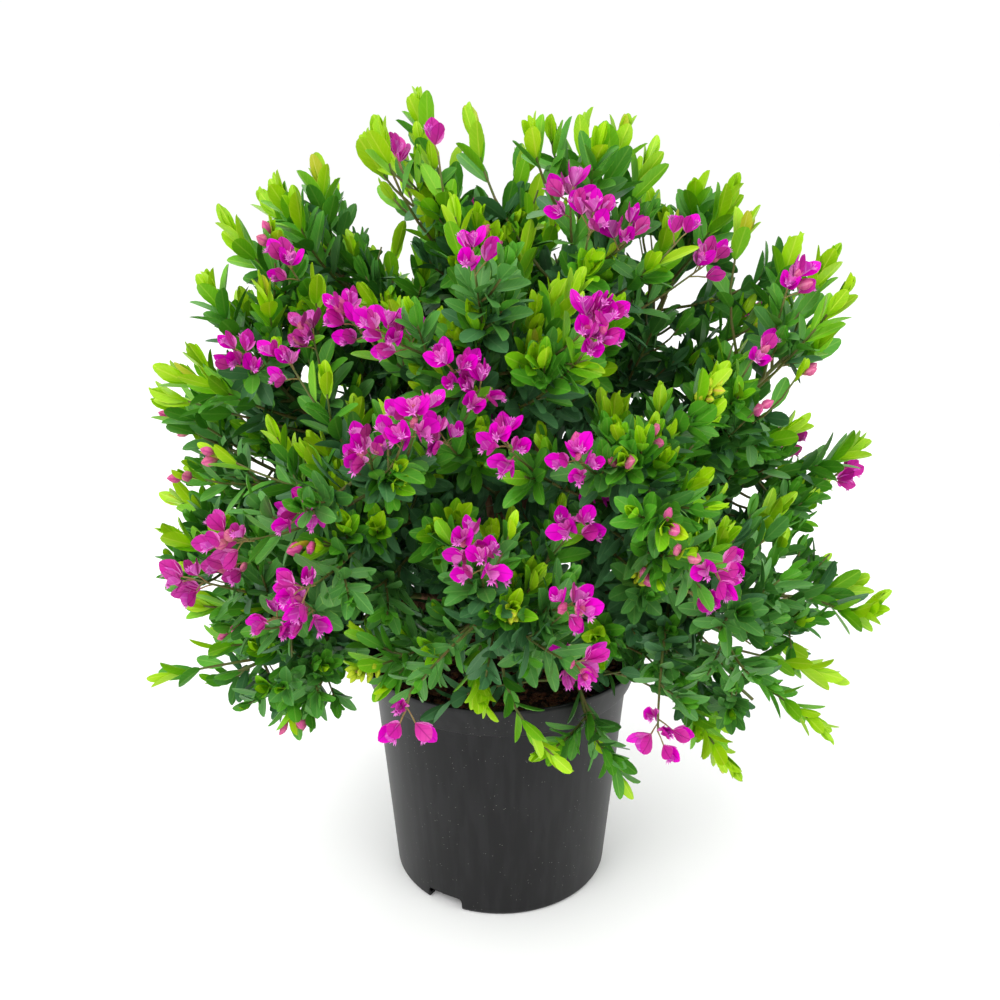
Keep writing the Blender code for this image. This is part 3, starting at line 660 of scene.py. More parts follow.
def stands_clear(courses):
    """Which shoots keep clear of the pot and the soil all along."""
    return clear_of_pot(bend(courses[:, None], np.linspace(0.1, 1.0, 10))).all(1)


def over_rim(courses):
    """Brings the shoots in front that would pass through the pot towards the camera, a step at a time."""
    for _ in range(RIM_STEPS):
        blocked = ~stands_clear(courses) & (courses[:, 2, 1] < 0)
        closer = courses[blocked, 1:] - unit(courses[blocked, 1:] - CAMERA_PLACE) * RIM_STEP
        courses[blocked, 1:] = inside_box(closer)


def piece(name, arrays, finish, smooth=True):
    """An object from whole arrays of vertices, triangles and, if given, places on its surface."""
    verts, triangles, uv = arrays if len(arrays) == 3 else (*arrays, None)
    mesh = bpy.data.meshes.new(name)
    mesh.vertices.add(len(verts))
    mesh.vertices.foreach_set("co", np.ascontiguousarray(verts, np.float32).ravel())
    mesh.loops.add(triangles.size)
    mesh.loops.foreach_set("vertex_index", np.ascontiguousarray(triangles, np.int32).ravel())
    mesh.polygons.add(len(triangles))
    mesh.polygons.foreach_set("loop_start", np.arange(0, triangles.size, 3, dtype=np.int32))
    mesh.update(calc_edges=True)
    if smooth:
        mesh.shade_smooth()
    if uv is not None:
        layer = mesh.uv_layers.new(name="Own")
        layer.uv.foreach_set("vector", np.ascontiguousarray(uv[triangles], np.float32).ravel())
    mesh.materials.append(finish)
    made = bpy.data.objects.new(name, mesh)
    bpy.context.scene.collection.objects.link(made)
    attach(made, "root")
    return made


def grid_triangles(rows, columns, closed):
    """Two triangles for each cell of a grid of points numbered by rows, its columns joined if closed."""
    last = columns if closed else columns - 1
    row, column = np.meshgrid(np.arange(rows - 1), np.arange(last), indexing="ij")
    near, far = row * columns + column, row * columns + (column + 1) % columns
    first = np.stack((near, far, far + columns), -1)
    second = np.stack((near, far + columns, near + columns), -1)
    return np.concatenate((first.reshape(-1, 3), second.reshape(-1, 3)))


def fan(first, sides, centre, turned_over=False):
    """Triangles that close a ring of points, numbered from the first on, with one point at its centre."""
    point = np.arange(sides)
    after = (point + 1) % sides
    near, far = (after, point) if turned_over else (point, after)
    return np.stack((near + first, far + first, np.full(sides, centre)), 1)


def spread_triangles(triangles, size, count):
    """The same triangles for each of count copies of a shape of that many points."""
    return (triangles[None] + (np.arange(count) * size)[:, None, None]).reshape(-1, 3)


def rods(courses, shares, radii, sides):
    """Tubes along many courses: at each share a ring, centre + radius (side cos + across sin), tip closed."""
    points = bend(courses[:, None], shares)
    ahead = unit(pace(courses[:, None], shares))
    turns = np.arange(sides) * math.tau / sides
    ring = around(ahead[:, :, None], turns[None, None])
    verts = points[:, :, None] + ring * radii[:, None, None]
    verts = np.concatenate((verts.reshape(len(courses), -1, 3), points[:, -1:]), 1)
    last = (len(shares) - 1) * sides
    triangles = np.concatenate((grid_triangles(len(shares), sides, True), fan(last, sides, last + sides)))
    uv = np.stack(np.meshgrid(shares, turns / math.tau, indexing="ij"), -1)
    uv = np.tile(np.concatenate((uv.reshape(-1, 2), ((1.0, 0.5),))), (len(courses), 1))
    return verts.reshape(-1, 3), spread_triangles(triangles, last + sides + 1, len(courses)), uv


def blade_shape(stations, fullness, roundness):
    """A blade's grid of across and along shares: half width sin(pi v^fullness)^roundness at each station v.

    Each station has a left, middle and right point, between one point at the root and one at the tip.
    """
    v = np.array(stations)
    half = np.sin(math.pi * v**fullness) ** roundness
    across = np.stack((-half, 0 * half, half), 1).ravel()
    along = np.repeat(v, 3)
    across = np.concatenate(((0.0,), across, (0.0,)))
    along = np.concatenate(((0.0,), along, (1.0,)))
    body = grid_triangles(len(v), 3, False) + 1
    last = 3 * len(v) - 2
    ends = np.array(((0, 2, 1), (0, 3, 2), (last, last + 1, last + 3), (last + 1, last + 2, last + 3)))
    return across, along, np.concatenate((body, ends))


LEAF_SHAPE = blade_shape((0.06, 0.21, 0.44, 0.67, 0.86, 0.965), 1.20, 0.54)
WING_SHAPE = blade_shape((0.08, 0.24, 0.44, 0.64, 0.82, 0.95), 1.30, 0.74)
KEEL_SHAPE = blade_shape((0.12, 0.40, 0.70, 0.92), 1.15, 0.7)
THREAD_SHAPE = blade_shape((0.5,), 1.0, 1.0)


def blades(shape, roots, along, face, length, width, fold, curl):
    """Many blades on frames (across, along, face): x = u w, y = v l, z = fold |x| - curl v^2 l."""
    u, v, triangles = shape
    curl = np.asarray(curl)[:, None]
    along = unit(along)
    across = unit(np.cross(along, face))
    face = np.cross(across, along)
    x = u[None] * (width / 2)[:, None]
    y = v[None] * length[:, None]
    z = np.abs(x) * np.asarray(fold)[:, None] - curl * v[None] ** 2 * length[:, None]
    y = y * (1 - 0.4 * curl**2 * v[None])
    frames = x[..., None] * across[:, None] + y[..., None] * along[:, None] + z[..., None] * face[:, None]
    verts = roots[:, None] + frames
    uv = np.tile(np.stack((0.5 + u / 2, v), 1), (len(roots), 1))
    return verts.reshape(-1, 3), spread_triangles(triangles, len(u), len(roots)), uv


# A spray of leaves: its shoots' courses, leaves a shoot, youth, leaf size, how far out they stand, how many
# pixels past the outline its leaves may show, how much of a shoot bears leaves, which shoots bear blossom,
# and which are free
Spray = namedtuple("Spray", "courses leaves youth size outer leeway leafy bears free")


def leaf_sprays(spray, chance):
    """Frames, sizes and ranks of the leaves on shoots, in a spiral, open at the foot and closed at the tip.

    Leaf k of n stands at share 1 - 0.90 (k/n)^0.95 of the shoot, or of its last part of that leafy length,
    turned k times the golden angle, and opens by 6 + 60 (1 - e^(-k/8)) degrees from it, less on a young one.
    """
    courses, count = spray.courses, spray.leaves
    shoots = len(courses)
    rank = np.tile(np.arange(count), (shoots, 1)).astype(float)
    length = np.linalg.norm(courses[:, 2] - courses[:, 0], axis=1)[:, None]
    share = 1 - 0.90 * (rank / count) ** 0.95 * np.minimum(1.0, spray.leafy / length)
    share = share + chance.uniform(-0.01, 0.01, rank.shape)
    roots = bend(courses[:, None], share)
    ahead = unit(pace(courses[:, None], share))
    turns = rank * GOLDEN_TURN + chance.uniform(0, math.tau, (shoots, 1))
    outwards = around(ahead, turns + chance.uniform(-0.25, 0.25, rank.shape))
    spread = 60 * (1 - np.exp(-rank / 8.0)) * (1.15 - 0.40 * spray.youth[:, None])
    opening = np.radians(6 + spread + chance.uniform(-6, 8, rank.shape))[..., None]
    along = ahead * np.cos(opening) + outwards * np.sin(opening) + UP * 0.12
    size = spray.size[:, None]
    grown = 0.60 + 0.40 * (1 - np.exp(-(rank + 0.5) / 1.8))
    young = np.exp(-rank / 4.0)
    length = LEAF_LENGTH * size * grown * chance.uniform(0.82, 1.15, rank.shape) * (1 - 0.14 * young)
    width = LEAF_WIDTH * size * grown * chance.uniform(0.86, 1.14, rank.shape) * (1 - 0.12 * young)
    curl = 0.16 * (1 - np.exp(-rank / 5.0)) - 0.12 + chance.uniform(-0.06, 0.10, rank.shape)
    return {
        "roots": roots.reshape(-1, 3),
        "along": along.reshape(-1, 3),
        "face": ahead.reshape(-1, 3),
        "length": length.ravel(),
        "width": width.ravel(),
        "fold": chance.uniform(0.12, 0.45, rank.size) + 0.30 * young.ravel(),
        "curl": curl.ravel(),
        "rank": rank.ravel(),
        "youth": np.repeat(spray.youth, count),
    }


def new_group(name, inputs, outputs):
    """An empty shader node group with named inputs and outputs, and its input and output nodes."""
    group = bpy.data.node_groups.new(name, "ShaderNodeTree")
    for label, kind, value in inputs:
        socket = group.interface.new_socket(label, in_out="INPUT", socket_type=kind)
        socket.default_value = value
    for label, kind in outputs:
        group.interface.new_socket(label, in_out="OUTPUT", socket_type=kind)
    return group, group.nodes.new("NodeGroupInput"), group.nodes.new("NodeGroupOutput")


def feed(group, made, inputs):
    """Links sockets to a node's inputs, or gives them plain values, by label or number; returns the node."""
    for label, value in inputs.items():
        if isinstance(value, bpy.types.NodeSocket):
            group.links.new(value, made.inputs[label])
        else:
            made.inputs[label].default_value = value
    return made


def mix(group, factor, first, second):
    """A colour mix of two sockets or colours by a factor socket, and its result."""
    made = group.nodes.new("ShaderNodeMix")
    made.data_type = "RGBA"
    return feed(group, made, {0: factor, 6: first, 7: second}).outputs[2]


def calculate(group, operation, *values):
    """A math node over sockets or numbers, and its result."""
    made = group.nodes.new("ShaderNodeMath")
    made.operation = operation
    return feed(group, made, dict(enumerate(values))).outputs[0]


def ramp(group, value, low, high):
    """A smooth step from 0 at low to 1 at high."""
    made = group.nodes.new("ShaderNodeMapRange")
    made.interpolation_type = "SMOOTHSTEP"
    return feed(group, made, {"Value": value, "From Min": low, "From Max": high}).outputs["Result"]


def noise(group, coordinates, scale, detail):
    """A noise over those coordinates."""
    made = group.nodes.new("ShaderNodeTexNoise")
    return feed(group, made, {"Vector": coordinates, "Scale": scale, "Detail": detail}).outputs["Fac"]


def blade_group():
    """The pattern of a leaf or petal: a rib along it, side veins, a tinted margin, and cloudy variation."""
    colour, number = "NodeSocketColor", "NodeSocketFloat"
    group, given, result = new_group(
        "blade_pattern",
        (
            ("Blade", colour, (0.1, 0.3, 0.05, 1)),
            ("Rib", colour, (0.3, 0.5, 0.1, 1)),
            ("Margin", colour, (0.4, 0.5, 0.1, 1)),
            ("Root", colour, (0.1, 0.3, 0.05, 1)),
            ("Margin Width", number, 0.15),
            ("Vein Count", number, 9.0),
            ("Vein Strength", number, 0.25),
        ),
        (("Colour", colour), ("Roughness", number), ("Height", number)),
    )
    maths = partial(calculate, group)
    place = group.nodes.new("ShaderNodeTexCoord")
    uv = feed(group, group.nodes.new("ShaderNodeSeparateXYZ"), {0: place.outputs["UV"]})
    off_rib = maths("ABSOLUTE", maths("SUBTRACT", uv.outputs["X"], 0.5))
    rib = maths("SUBTRACT", 1.0, ramp(group, off_rib, 0.015, 0.06))
    veins = maths("SUBTRACT", uv.outputs["Y"], maths("MULTIPLY", off_rib, 0.6))
    veins = maths("SINE", maths("MULTIPLY", veins, maths("MULTIPLY", given.outputs["Vein Count"], math.tau)))
    veins = maths("MULTIPLY", ramp(group, veins, 0.5, 1.0), given.outputs["Vein Strength"])
    margin = maths("GREATER_THAN", off_rib, maths("SUBTRACT", 0.5, given.outputs["Margin Width"]))
    cloud = noise(group, place.outputs["Object"], 26.0, 3.0)
    cloudy = maths("MULTIPLY", ramp(group, cloud, 0.35, 0.7), 0.45)
    dark = mix(group, cloudy, given.outputs["Blade"], given.outputs["Root"])
    ribbed = mix(group, maths("MAXIMUM", maths("MULTIPLY", rib, 0.7), veins), dark, given.outputs["Rib"])
    edged = mix(group, maths("MULTIPLY", margin, 0.6), ribbed, given.outputs["Margin"])
    foot = maths("SUBTRACT", 1.0, ramp(group, uv.outputs["Y"], 0.0, 0.35))
    feed(group, result, {
        "Colour": mix(group, maths("MULTIPLY", foot, 0.5), edged, given.outputs["Root"]),
        "Roughness": maths("ADD", 0.34, maths("MULTIPLY", cloud, 0.22)),
        "Height": maths("ADD", maths("MULTIPLY", rib, -0.6), veins),
    })
    return group


def grain_group():
    """Mottled grain on object coordinates: two colours by stretched noise, a third in scattered spots."""
    colour, number = "NodeSocketColor", "NodeSocketFloat"
    group, given, result = new_group(
        "mottled_grain",
        (
            ("Ground", colour, (0.1, 0.06, 0.03, 1)),
            ("Streak", colour, (0.2, 0.12, 0.06, 1)),
            ("Spot", colour, (0.3, 0.25, 0.2, 1)),
            ("Scale", number, 200.0),
            ("Stretch", number, 0.25),
            ("Spot Scale", number, 400.0),
            ("Spot Size", number, 0.12),
        ),
        (("Colour", colour), ("Height", number), ("Spots", number)),
    )
    own = given.outputs
    place = group.nodes.new("ShaderNodeTexCoord").outputs["Object"]
    shape = feed(group, group.nodes.new("ShaderNodeCombineXYZ"), {0: 1.0, 1: 1.0, 2: own["Stretch"]})
    scaled = group.nodes.new("ShaderNodeVectorMath")
    scaled.operation = "MULTIPLY"
    feed(group, scaled, {0: place, 1: shape.outputs[0]})
    grain = noise(group, scaled.outputs[0], own["Scale"], 6.0)
    cells = group.nodes.new("ShaderNodeTexVoronoi")
    feed(group, cells, {"Vector": place, "Scale": own["Spot Scale"]})
    spots = calculate(group, "LESS_THAN", cells.outputs["Distance"], own["Spot Size"])
    sparse = calculate(group, "GREATER_THAN", noise(group, place, 60.0, 2.0), 0.52)
    spots = calculate(group, "MULTIPLY", spots, sparse)
    streaked = mix(group, ramp(group, grain, 0.4, 0.65), own["Ground"], own["Streak"])
    feed(group, result, {"Colour": mix(group, spots, streaked, own["Spot"]), "Height": grain, "Spots": spots})
    return group


def finish_with(name, group, values, relief, shine, roughness=None):
    """A Principled material fed by a pattern group, its height making a relief of that strength and depth."""
    made = bpy.data.materials.new(name)
    made.use_nodes = True
    tree = made.node_tree
    pattern = tree.nodes.new("ShaderNodeGroup")
    pattern.node_tree = group
    given = feed(tree, pattern, values).outputs
    raised = feed(tree, tree.nodes.new("ShaderNodeBump"), {
        "Strength": relief[0], "Distance": relief[1], "Height": given["Height"]})
    feed(tree, tree.nodes["Principled BSDF"], {
        "Base Color": given["Colour"], "Normal": raised.outputs["Normal"], "Specular IOR Level": shine,
        "Roughness": given["Roughness"] if roughness is None else roughness})
    return made


def srgb(red, green, blue):
    """A colour given as it looks on screen, from 0 to 255, as the linear values a shader takes."""
    share = np.array((red, green, blue)) / 255
    linear = np.where(share < 0.04045, share / 12.92, ((share + 0.055) / 1.055) ** 2.4)
    return (*linear.tolist(), 1.0)


def blade_finish(name, look, veins, *colours):
    """A leaf's or a petal's satin finish, with the colours of its blade, rib, margin and root."""
    margin, count, relief, shine = look
    values = {label: srgb(*colour) for label, colour in zip(("Blade", "Rib", "Margin", "Root"), colours)}
    values.update({"Margin Width": margin, "Vein Count": count, "Vein Strength": veins})
    return finish_with(name, BLADE_PATTERN, values, relief, shine)


def grain_finish(name, grain, relief, roughness, shine, *colours):
    """A mottled finish, with the colours of its ground, streaks and spots."""
    values = {label: srgb(*colour) for label, colour in zip(("Ground", "Streak", "Spot"), colours)}
    values.update(zip(("Scale", "Stretch", "Spot Scale", "Spot Size"), grain))
    return finish_with(name, GRAIN_PATTERN, values, relief, shine, roughness)


BLADE_PATTERN = blade_group()
GRAIN_PATTERN = grain_group()

# How leaves and petals differ: width of margin, number of veins, strength and depth of relief, and shine
LEAF_LOOK = (0.05, 7.0, (0.25, 0.0006), 0.34)
PETAL_LOOK = (0.07, 3.0, (0.20, 0.0005), 0.15)
LEAF_VEINS = 0.18

# Kinds of leaves: the colours of the blade, the rib, the margin and the root
LEAF_FINISHES = {kind: blade_finish(f"leaf_{kind}", LEAF_LOOK, LEAF_VEINS, *colours) for kind, *colours in (
    # painted shade: a darker, bluer green for the leaves inside the crown and far down their shoots
    ("shade", (74, 128, 76), (96, 144, 90), (114, 166, 84), (54, 102, 62)),
    ("deep", (78, 143, 56), (106, 162, 74), (144, 190, 72), (54, 112, 50)),
    ("mid", (80, 156, 32), (112, 172, 58), (142, 194, 58), (44, 110, 34)),
    ("bright", (120, 190, 12), (154, 206, 52), (190, 218, 60), (80, 154, 22)),
    ("lime", (162, 210, 4), (192, 222, 58), (214, 228, 74), (114, 180, 16)),
    ("bronze", (186, 190, 36), (206, 208, 90), (186, 112, 56), (132, 172, 34)),
)}

# Pieces of the blooms: the name of the finish, the strength of its veins, and the same colours
PETAL_FINISHES = {name: blade_finish(finish, PETAL_LOOK, *looks) for name, finish, *looks in (
    ("wings", "wing_petal", 0.16, (228, 0, 200), (180, 0, 160), (236, 40, 208), (190, 0, 164)),
    ("faded_wings", "faded_petal", 0.3, (190, 36, 152), (146, 14, 114), (220, 104, 180), (206, 92, 166)),
    ("wing_backs", "wing_back", 0.2, (192, 20, 152), (146, 14, 112), (220, 84, 182), (204, 80, 140)),
    ("keels", "keel_petal", 0.35, (200, 40, 180), (230, 150, 214), (186, 10, 160), (236, 160, 216)),
    ("upper_petals", "upper_petal", 0.35,
     (226, 90, 196), (190, 20, 160), (246, 170, 226), (246, 190, 222)),
    ("brushes", "brush_thread", 0.35, (232, 132, 216), (240, 170, 230), (226, 104, 208), (214, 70, 194)),
    ("buds", "bud_petal", 0.35, (208, 84, 146), (170, 44, 116), (228, 140, 174), (180, 140, 96)),
    ("fresh_buds", "fresh_bud", 0.35, (186, 200, 44), (150, 176, 26), (214, 150, 90), (132, 178, 28)),
    ("flower_stalks", "flower_stalk", 0.35,
     (150, 120, 80), (150, 90, 80), (160, 130, 80), (120, 140, 60)),
)}
BLOOM_PIECES = ("wings", "faded_wings", "wing_backs", "keels", "upper_petals", "brushes")

# Barks, soil and plastic: scale and stretch of streaks, scale and size of spots, strength and depth of
# relief, roughness and shine, and the colours of ground, streaks and spots
GRAIN_FINISHES = {name: grain_finish(name, *looks) for name, *looks in (
    ("young_bark", (300.0, 0.3, 700.0, 0.10), (0.3, 0.0004), 0.6, 0.5,
     (88, 104, 40), (106, 92, 46), (150, 150, 90)),
    ("old_bark", (420.0, 0.18, 500.0, 0.12), (0.8, 0.0012), 0.85, 0.5,
     (96, 66, 42), (140, 104, 74), (176, 150, 120)),
    ("peat", (380.0, 1.0, 420.0, 0.10), (1.0, 0.002), 0.95, 0.5,
     (44, 28, 18), (84, 54, 34), (150, 120, 92)),
    ("bark_chip", (500.0, 0.4, 600.0, 0.08), (0.8, 0.001), 0.9, 0.5,
     (92, 52, 30), (134, 82, 50), (170, 130, 96)),
    ("black_plastic", (130.0, 0.12, 300.0, 0.10), (0.10, 0.0003), 0.42, 0.25,
     (12, 12, 14), (23, 23, 25), (104, 103, 99)),
)}


def colour_leaves(leaves, outer, chance):
    """Each leaf's kind: by rank from the tip, the shoot's youth, and how far out the shoot stands; shade is
    painted shade.
    """
    young = leaves["youth"] * 10.0
    rank = leaves["rank"]
    kind = np.full(len(rank), "deep", dtype=object)
    kind[rank < young + 7] = "mid"
    kind[rank < young] = "bright"
    kind[rank < young * 0.62] = "lime"
    # painted shade: leaves far down their shoots or on shoots inside the crown take the darker, bluer shade
    # colour
    kind[(rank > 14) | (outer < 0.55)] = "shade"
    old = (leaves["youth"] < 0.25) & (rank > 3)
    kind[old & (kind == "mid")] = "deep"
    bronze = (leaves["youth"] > 0.70) & (rank < 3) & (chance.uniform(0, 1, len(rank)) < BRONZE_SHARE)
    kind[bronze] = "bronze"
    return kind


def away_from(points, hearts, room):
    """Whether each point p is further than the room from all the hearts h, by p.p + h.h - 2 p.h."""
    squares = (points**2).sum(1)[:, None] + (hearts**2).sum(1) - 2 * points @ hearts.T
    return squares.min(1) > room**2


def leaf_room(leaves, leeway, hearts):
    """Which leaves have room: clear of the pot and the blooms, out of the gaps and within the outline."""
    tips = leaves["roots"] + unit(leaves["along"]) * leaves["length"][:, None]
    middles = (leaves["roots"] + tips) / 2
    room = clear_of_pot(tips) & clear_of_pot(middles) & clear_of_pot(leaves["roots"])
    room &= away_from(tips, hearts, TIP_ROOM) & away_from(middles, hearts, MIDDLE_ROOM) & ~in_gap(leaves)
    for points in (tips, middles):
        reach, allowed = past_outline(points)[1:]
        room &= reach < allowed + leeway
    return room


def make_leaves(sprays, hearts, chance):
    """All the leaves, joined by kind, with none in a gap or where a bloom stands.

    A shoot that would keep too few leaves loses them all, and so does a free one that crosses a gap, unless
    it bears blossom. Also returns which shoots of each spray stand.
    """
    made = [leaf_sprays(spray, chance) for spray in sprays]
    kinds = np.concatenate([colour_leaves(leaves, np.repeat(spray.outer, spray.leaves), chance)
                            for leaves, spray in zip(made, sprays)])
    leeway = np.repeat([spray.leeway for spray in sprays], [len(leaves["rank"]) for leaves in made])
    every = {key: np.concatenate([leaves[key] for leaves in made]) for key in made[0]}
    room = leaf_room(every, leeway, hearts)
    standing = []
    first = 0
    for spray in sprays:
        own = room[first:first + len(spray.courses) * spray.leaves].reshape(-1, spray.leaves)
        kept = (own.mean(1) > LEAST_LEAVES) & ~(spray.free & crosses_gap(spray.courses))
        standing.append(kept | spray.bears)
        own &= standing[-1][:, None]
        first += own.size
    made = []
    for kind, finish in LEAF_FINISHES.items():
        own = (kinds == kind) & room
        values = [every[key][own] for key in ("roots", "along", "face", "length", "width", "fold", "curl")]
        made.append(piece(f"leaves_{kind}", blades(LEAF_SHAPE, *values), finish))
    return made, standing


def make_twigs(stems, courses, side_courses):
    """The stems and shoots as thin tubes."""
    parts = [
        rods(stems, np.linspace(0.0, 1.0, 9), np.linspace(STEM_RADIUS, SHOOT_RADIUS, 9), 7),
        rods(courses, np.linspace(0.0, 1.0, 6), np.linspace(SHOOT_RADIUS, SHOOT_TIP_RADIUS, 6), 5),
        rods(side_courses, np.linspace(0.0, 1.0, 4), np.linspace(SHOOT_RADIUS * 0.8, SHOOT_TIP_RADIUS, 4), 4),
    ]
    return piece("twigs", stacked(parts), GRAIN_FINISHES["young_bark"])


def stacked(parts):
    """Several sets of vertices, triangles and places joined into one."""
    verts, triangles, uv = zip(*parts)
    offsets = np.cumsum([0] + [len(own) for own in verts[:-1]])
    triangles = [own + offset for own, offset in zip(triangles, offsets)]
    return np.concatenate(verts), np.concatenate(triangles), np.concatenate(uv)


def flower_frames(courses, counts, step, stalk_share, chance):
    """Roots, ends and directions of the stalks on blooming shoots, in a spiral down each shoot's end."""
    counts = np.broadcast_to(counts, len(courses))
    shoot = np.repeat(np.arange(len(courses)), counts)
    first = np.repeat(np.cumsum(counts) - counts, counts)
    number = np.arange(len(shoot)) - first
    ahead = unit(pace(courses, 1.0))[shoot]
    tips = courses[shoot, 2]
    turns = number * GOLDEN_TURN + chance.uniform(0, math.tau, len(courses))[shoot]
    outwards = around(ahead, turns)
    spread = np.where(number == 0, 0.15, chance.uniform(0.7, 1.3, len(shoot)))[:, None]
    outer = unit(tips - CROWN_HEART)
    forward = unit(ahead * 0.35 + outer * 0.75 + outwards * spread)
    roots = tips - ahead * (number * step)[:, None]
    stalk = chance.uniform(*STALK_LENGTHS, len(shoot)) * stalk_share
    return roots, roots + forward * stalk[:, None], forward


def make_flowers(hearts, forward, faded, chance):
    """The blooms: two cupped wings with pale backs, two small upper petals, and a keel with its brush."""
    count = len(hearts)
    right = unit(np.cross(forward, UP) + 1e-6)
    above = np.cross(right, forward)
    tilt = chance.uniform(-0.7, 0.7, count)[:, None]
    right, above = right * np.cos(tilt) + above * np.sin(tilt), above * np.cos(tilt) - right * np.sin(tilt)
    size = chance.uniform(0.85, 1.1, count)
    parts = {name: [] for name in BLOOM_PIECES}
    for way in (1, -1):
        gape = chance.uniform(0.35, 0.95, count)[:, None]
        along = forward * (1.1 - gape * 0.5) + right * (way * gape) + above * 0.35
        face = -right * way + forward * 0.8
        fold, curl = np.full(count, WING_FOLD), chance.uniform(-0.42, -0.14, count)
        wings = (hearts, along, face, WING_LENGTH * size, WING_WIDTH * size, fold, curl)
        for name, own in (("wings", ~faded), ("faded_wings", faded)):
            parts[name].append(blades(WING_SHAPE, *[each[own] for each in wings]))
        square = unit(face - along * (face * unit(along)).sum(1, keepdims=True))
        backs = (hearts - square * WING_THICKNESS, along, face, wings[3] * 0.99, wings[4] * 0.99, fold, curl)
        verts, triangles, uv = blades(WING_SHAPE, *backs)
        parts["wing_backs"].append((verts, triangles[:, ::-1], uv))
        along = forward * 0.9 + right * (way * 0.35) + above * 0.75
        parts["upper_petals"].append(blades(KEEL_SHAPE, hearts, along, above, UPPER_PETAL_LENGTH * size,
                                            UPPER_PETAL_WIDTH * size, np.full(count, 0.3), curl * 0.6))
    along = forward - above * 0.35
    parts["keels"].append(blades(KEEL_SHAPE, hearts, along, above, KEEL_LENGTH * size, KEEL_WIDTH * size,
                                 np.full(count, 1.25), np.full(count, -0.25)))
    tips = hearts + unit(along) * (BRUSH_REACH * size)[:, None] + above * 0.002
    for strand in range(BRUSH_STRANDS):
        turn = ((strand / BRUSH_STRANDS) * math.tau + chance.uniform(-0.3, 0.3, count))[:, None]
        direction = forward * 0.9 + (right * np.cos(turn) + above * np.sin(turn)) * 0.60
        thread = (BRUSH_LENGTH * size, np.full(count, BRUSH_WIDTH), np.zeros(count),
                  chance.uniform(-0.2, 0.3, count))
        parts["brushes"].append(blades(THREAD_SHAPE, tips, direction, forward, *thread))
    return [piece(name, stacked(own), PETAL_FINISHES[name]) for name, own in parts.items()]


def make_stalks(roots, hearts):
    """The thin stalks from the shoots to the flowers and buds, slightly bowed."""
    courses = np.stack((roots, (roots + hearts) / 2 + UP * 0.0008, hearts), 1)
    arrays = rods(courses, np.linspace(0, 1, 3), np.array(STALK_RADII), 4)
    return piece("flower_stalks", arrays, PETAL_FINISHES["flower_stalks"])


def make_buds(name, hearts, forward, length, chance):
    """Closed buds: pods x = w sin(pi v) cos(a), z = w sin(pi v) sin(a), y = v l, their ends nearly closed."""
    count = len(hearts)
    v = np.array((0.0, 0.12, 0.35, 0.62, 0.86, 1.0))
    swell = np.sin(math.pi * v**0.9) ** 0.8
    swell[0], swell[-1] = 0.12, 0.05
    turns = np.arange(6) * math.tau / 6
    across = around(forward, np.zeros(count))
    third = np.cross(forward, across)
    size = chance.uniform(0.75, 1.15, count) * length
    ring = across[:, None, None] * np.cos(turns)[None, None, :, None] * 0.62
    ring = ring + third[:, None, None] * np.sin(turns)[None, None, :, None]
    radius = (swell[None] * (0.36 * size)[:, None])[:, :, None, None]
    centre = hearts[:, None, None] + forward[:, None, None] * (v[None] * size[:, None])[:, :, None, None]
    verts = (centre + ring * radius).reshape(-1, 3)
    triangles = spread_triangles(grid_triangles(len(v), 6, True), len(v) * 6, count)
    uv = np.tile(np.stack((np.tile(turns / math.tau, len(v)), np.repeat(v, 6)), 1), (count, 1))
    return piece(name, (verts, triangles, uv), PETAL_FINISHES[name])


def relief_tube(points, radii, sides, relief, chance):
    """A closed tube with ridged bark: radius r (1 + relief (sum of sines in turn and height))."""
    points = np.asarray(points)
    ahead = unit(np.gradient(points, axis=0))
    turns = np.arange(sides) * math.tau / sides
    ring = around(ahead[:, None], turns[None])
    height = np.arange(len(points))[:, None] / len(points)
    phase = chance.uniform(0, math.tau, 4)
    waves = np.zeros((len(points), sides))
    for (size, round_it, along), start in zip(BARK_WAVES, phase):
        waves = waves + size * np.sin(round_it * turns + along * height + start)
    radius = np.asarray(radii)[:, None] * (1 + relief * waves)
    verts = points[:, None] + ring * radius[..., None]
    verts = np.concatenate((verts.reshape(-1, 3), points[:1], points[-1:]))
    rows = len(points)
    foot = rows * sides
    triangles = np.concatenate((grid_triangles(rows, sides, True), fan(0, sides, foot, True),
                                fan(foot - sides, sides, foot + 1)))
    uv = np.stack((np.tile(turns / math.tau, rows), np.repeat(np.arange(rows) / rows, sides)), 1)
    return verts, triangles, np.concatenate((uv, ((0.5, 0.0), (0.5, 1.0))))


def make_trunk(chance):
    """The trunk with its flared foot and ridged bark."""
    shares = np.linspace(0, 1, TRUNK_RINGS)
    radii = np.interp(shares, (0.0, 0.05, 0.14, 0.35, 0.7, 1.0), (
        FLARE_RADIUS, 0.0135, TRUNK_RADIUS * 1.1, TRUNK_RADIUS, TRUNK_RADIUS * 0.88, TRUNK_TOP_RADIUS))
    points = TRUNK_FOOT + (TRUNK_TOP - TRUNK_FOOT) * shares[:, None]
    verts, triangles, uv = relief_tube(points, radii, TRUNK_SIDES, TRUNK_RELIEF, chance)
    verts[:TRUNK_SIDES, 2] = TRUNK_FOOT[2]
    made = piece("trunk_bark", (verts, triangles, uv), GRAIN_FINISHES["old_bark"])
    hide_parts("trunk")


def make_boughs(limbs, chance):
    """The boughs with light bark relief, from inside the trunk's bark to the stems."""
    shares = np.linspace(0.0, BOUGH_SHARE, BOUGH_RINGS)
    radii = np.linspace(BOUGH_RADIUS, BOUGH_TIP_RADIUS, BOUGH_RINGS)
    parts = [relief_tube(bend(limb.course[None], shares), radii, BOUGH_SIDES, BOUGH_RELIEF, chance)
             for limb in limbs]
    made = piece("bough_bark", stacked(parts), GRAIN_FINISHES["old_bark"])
    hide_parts(*[f"bough_{limb.name}" for limb in limbs])


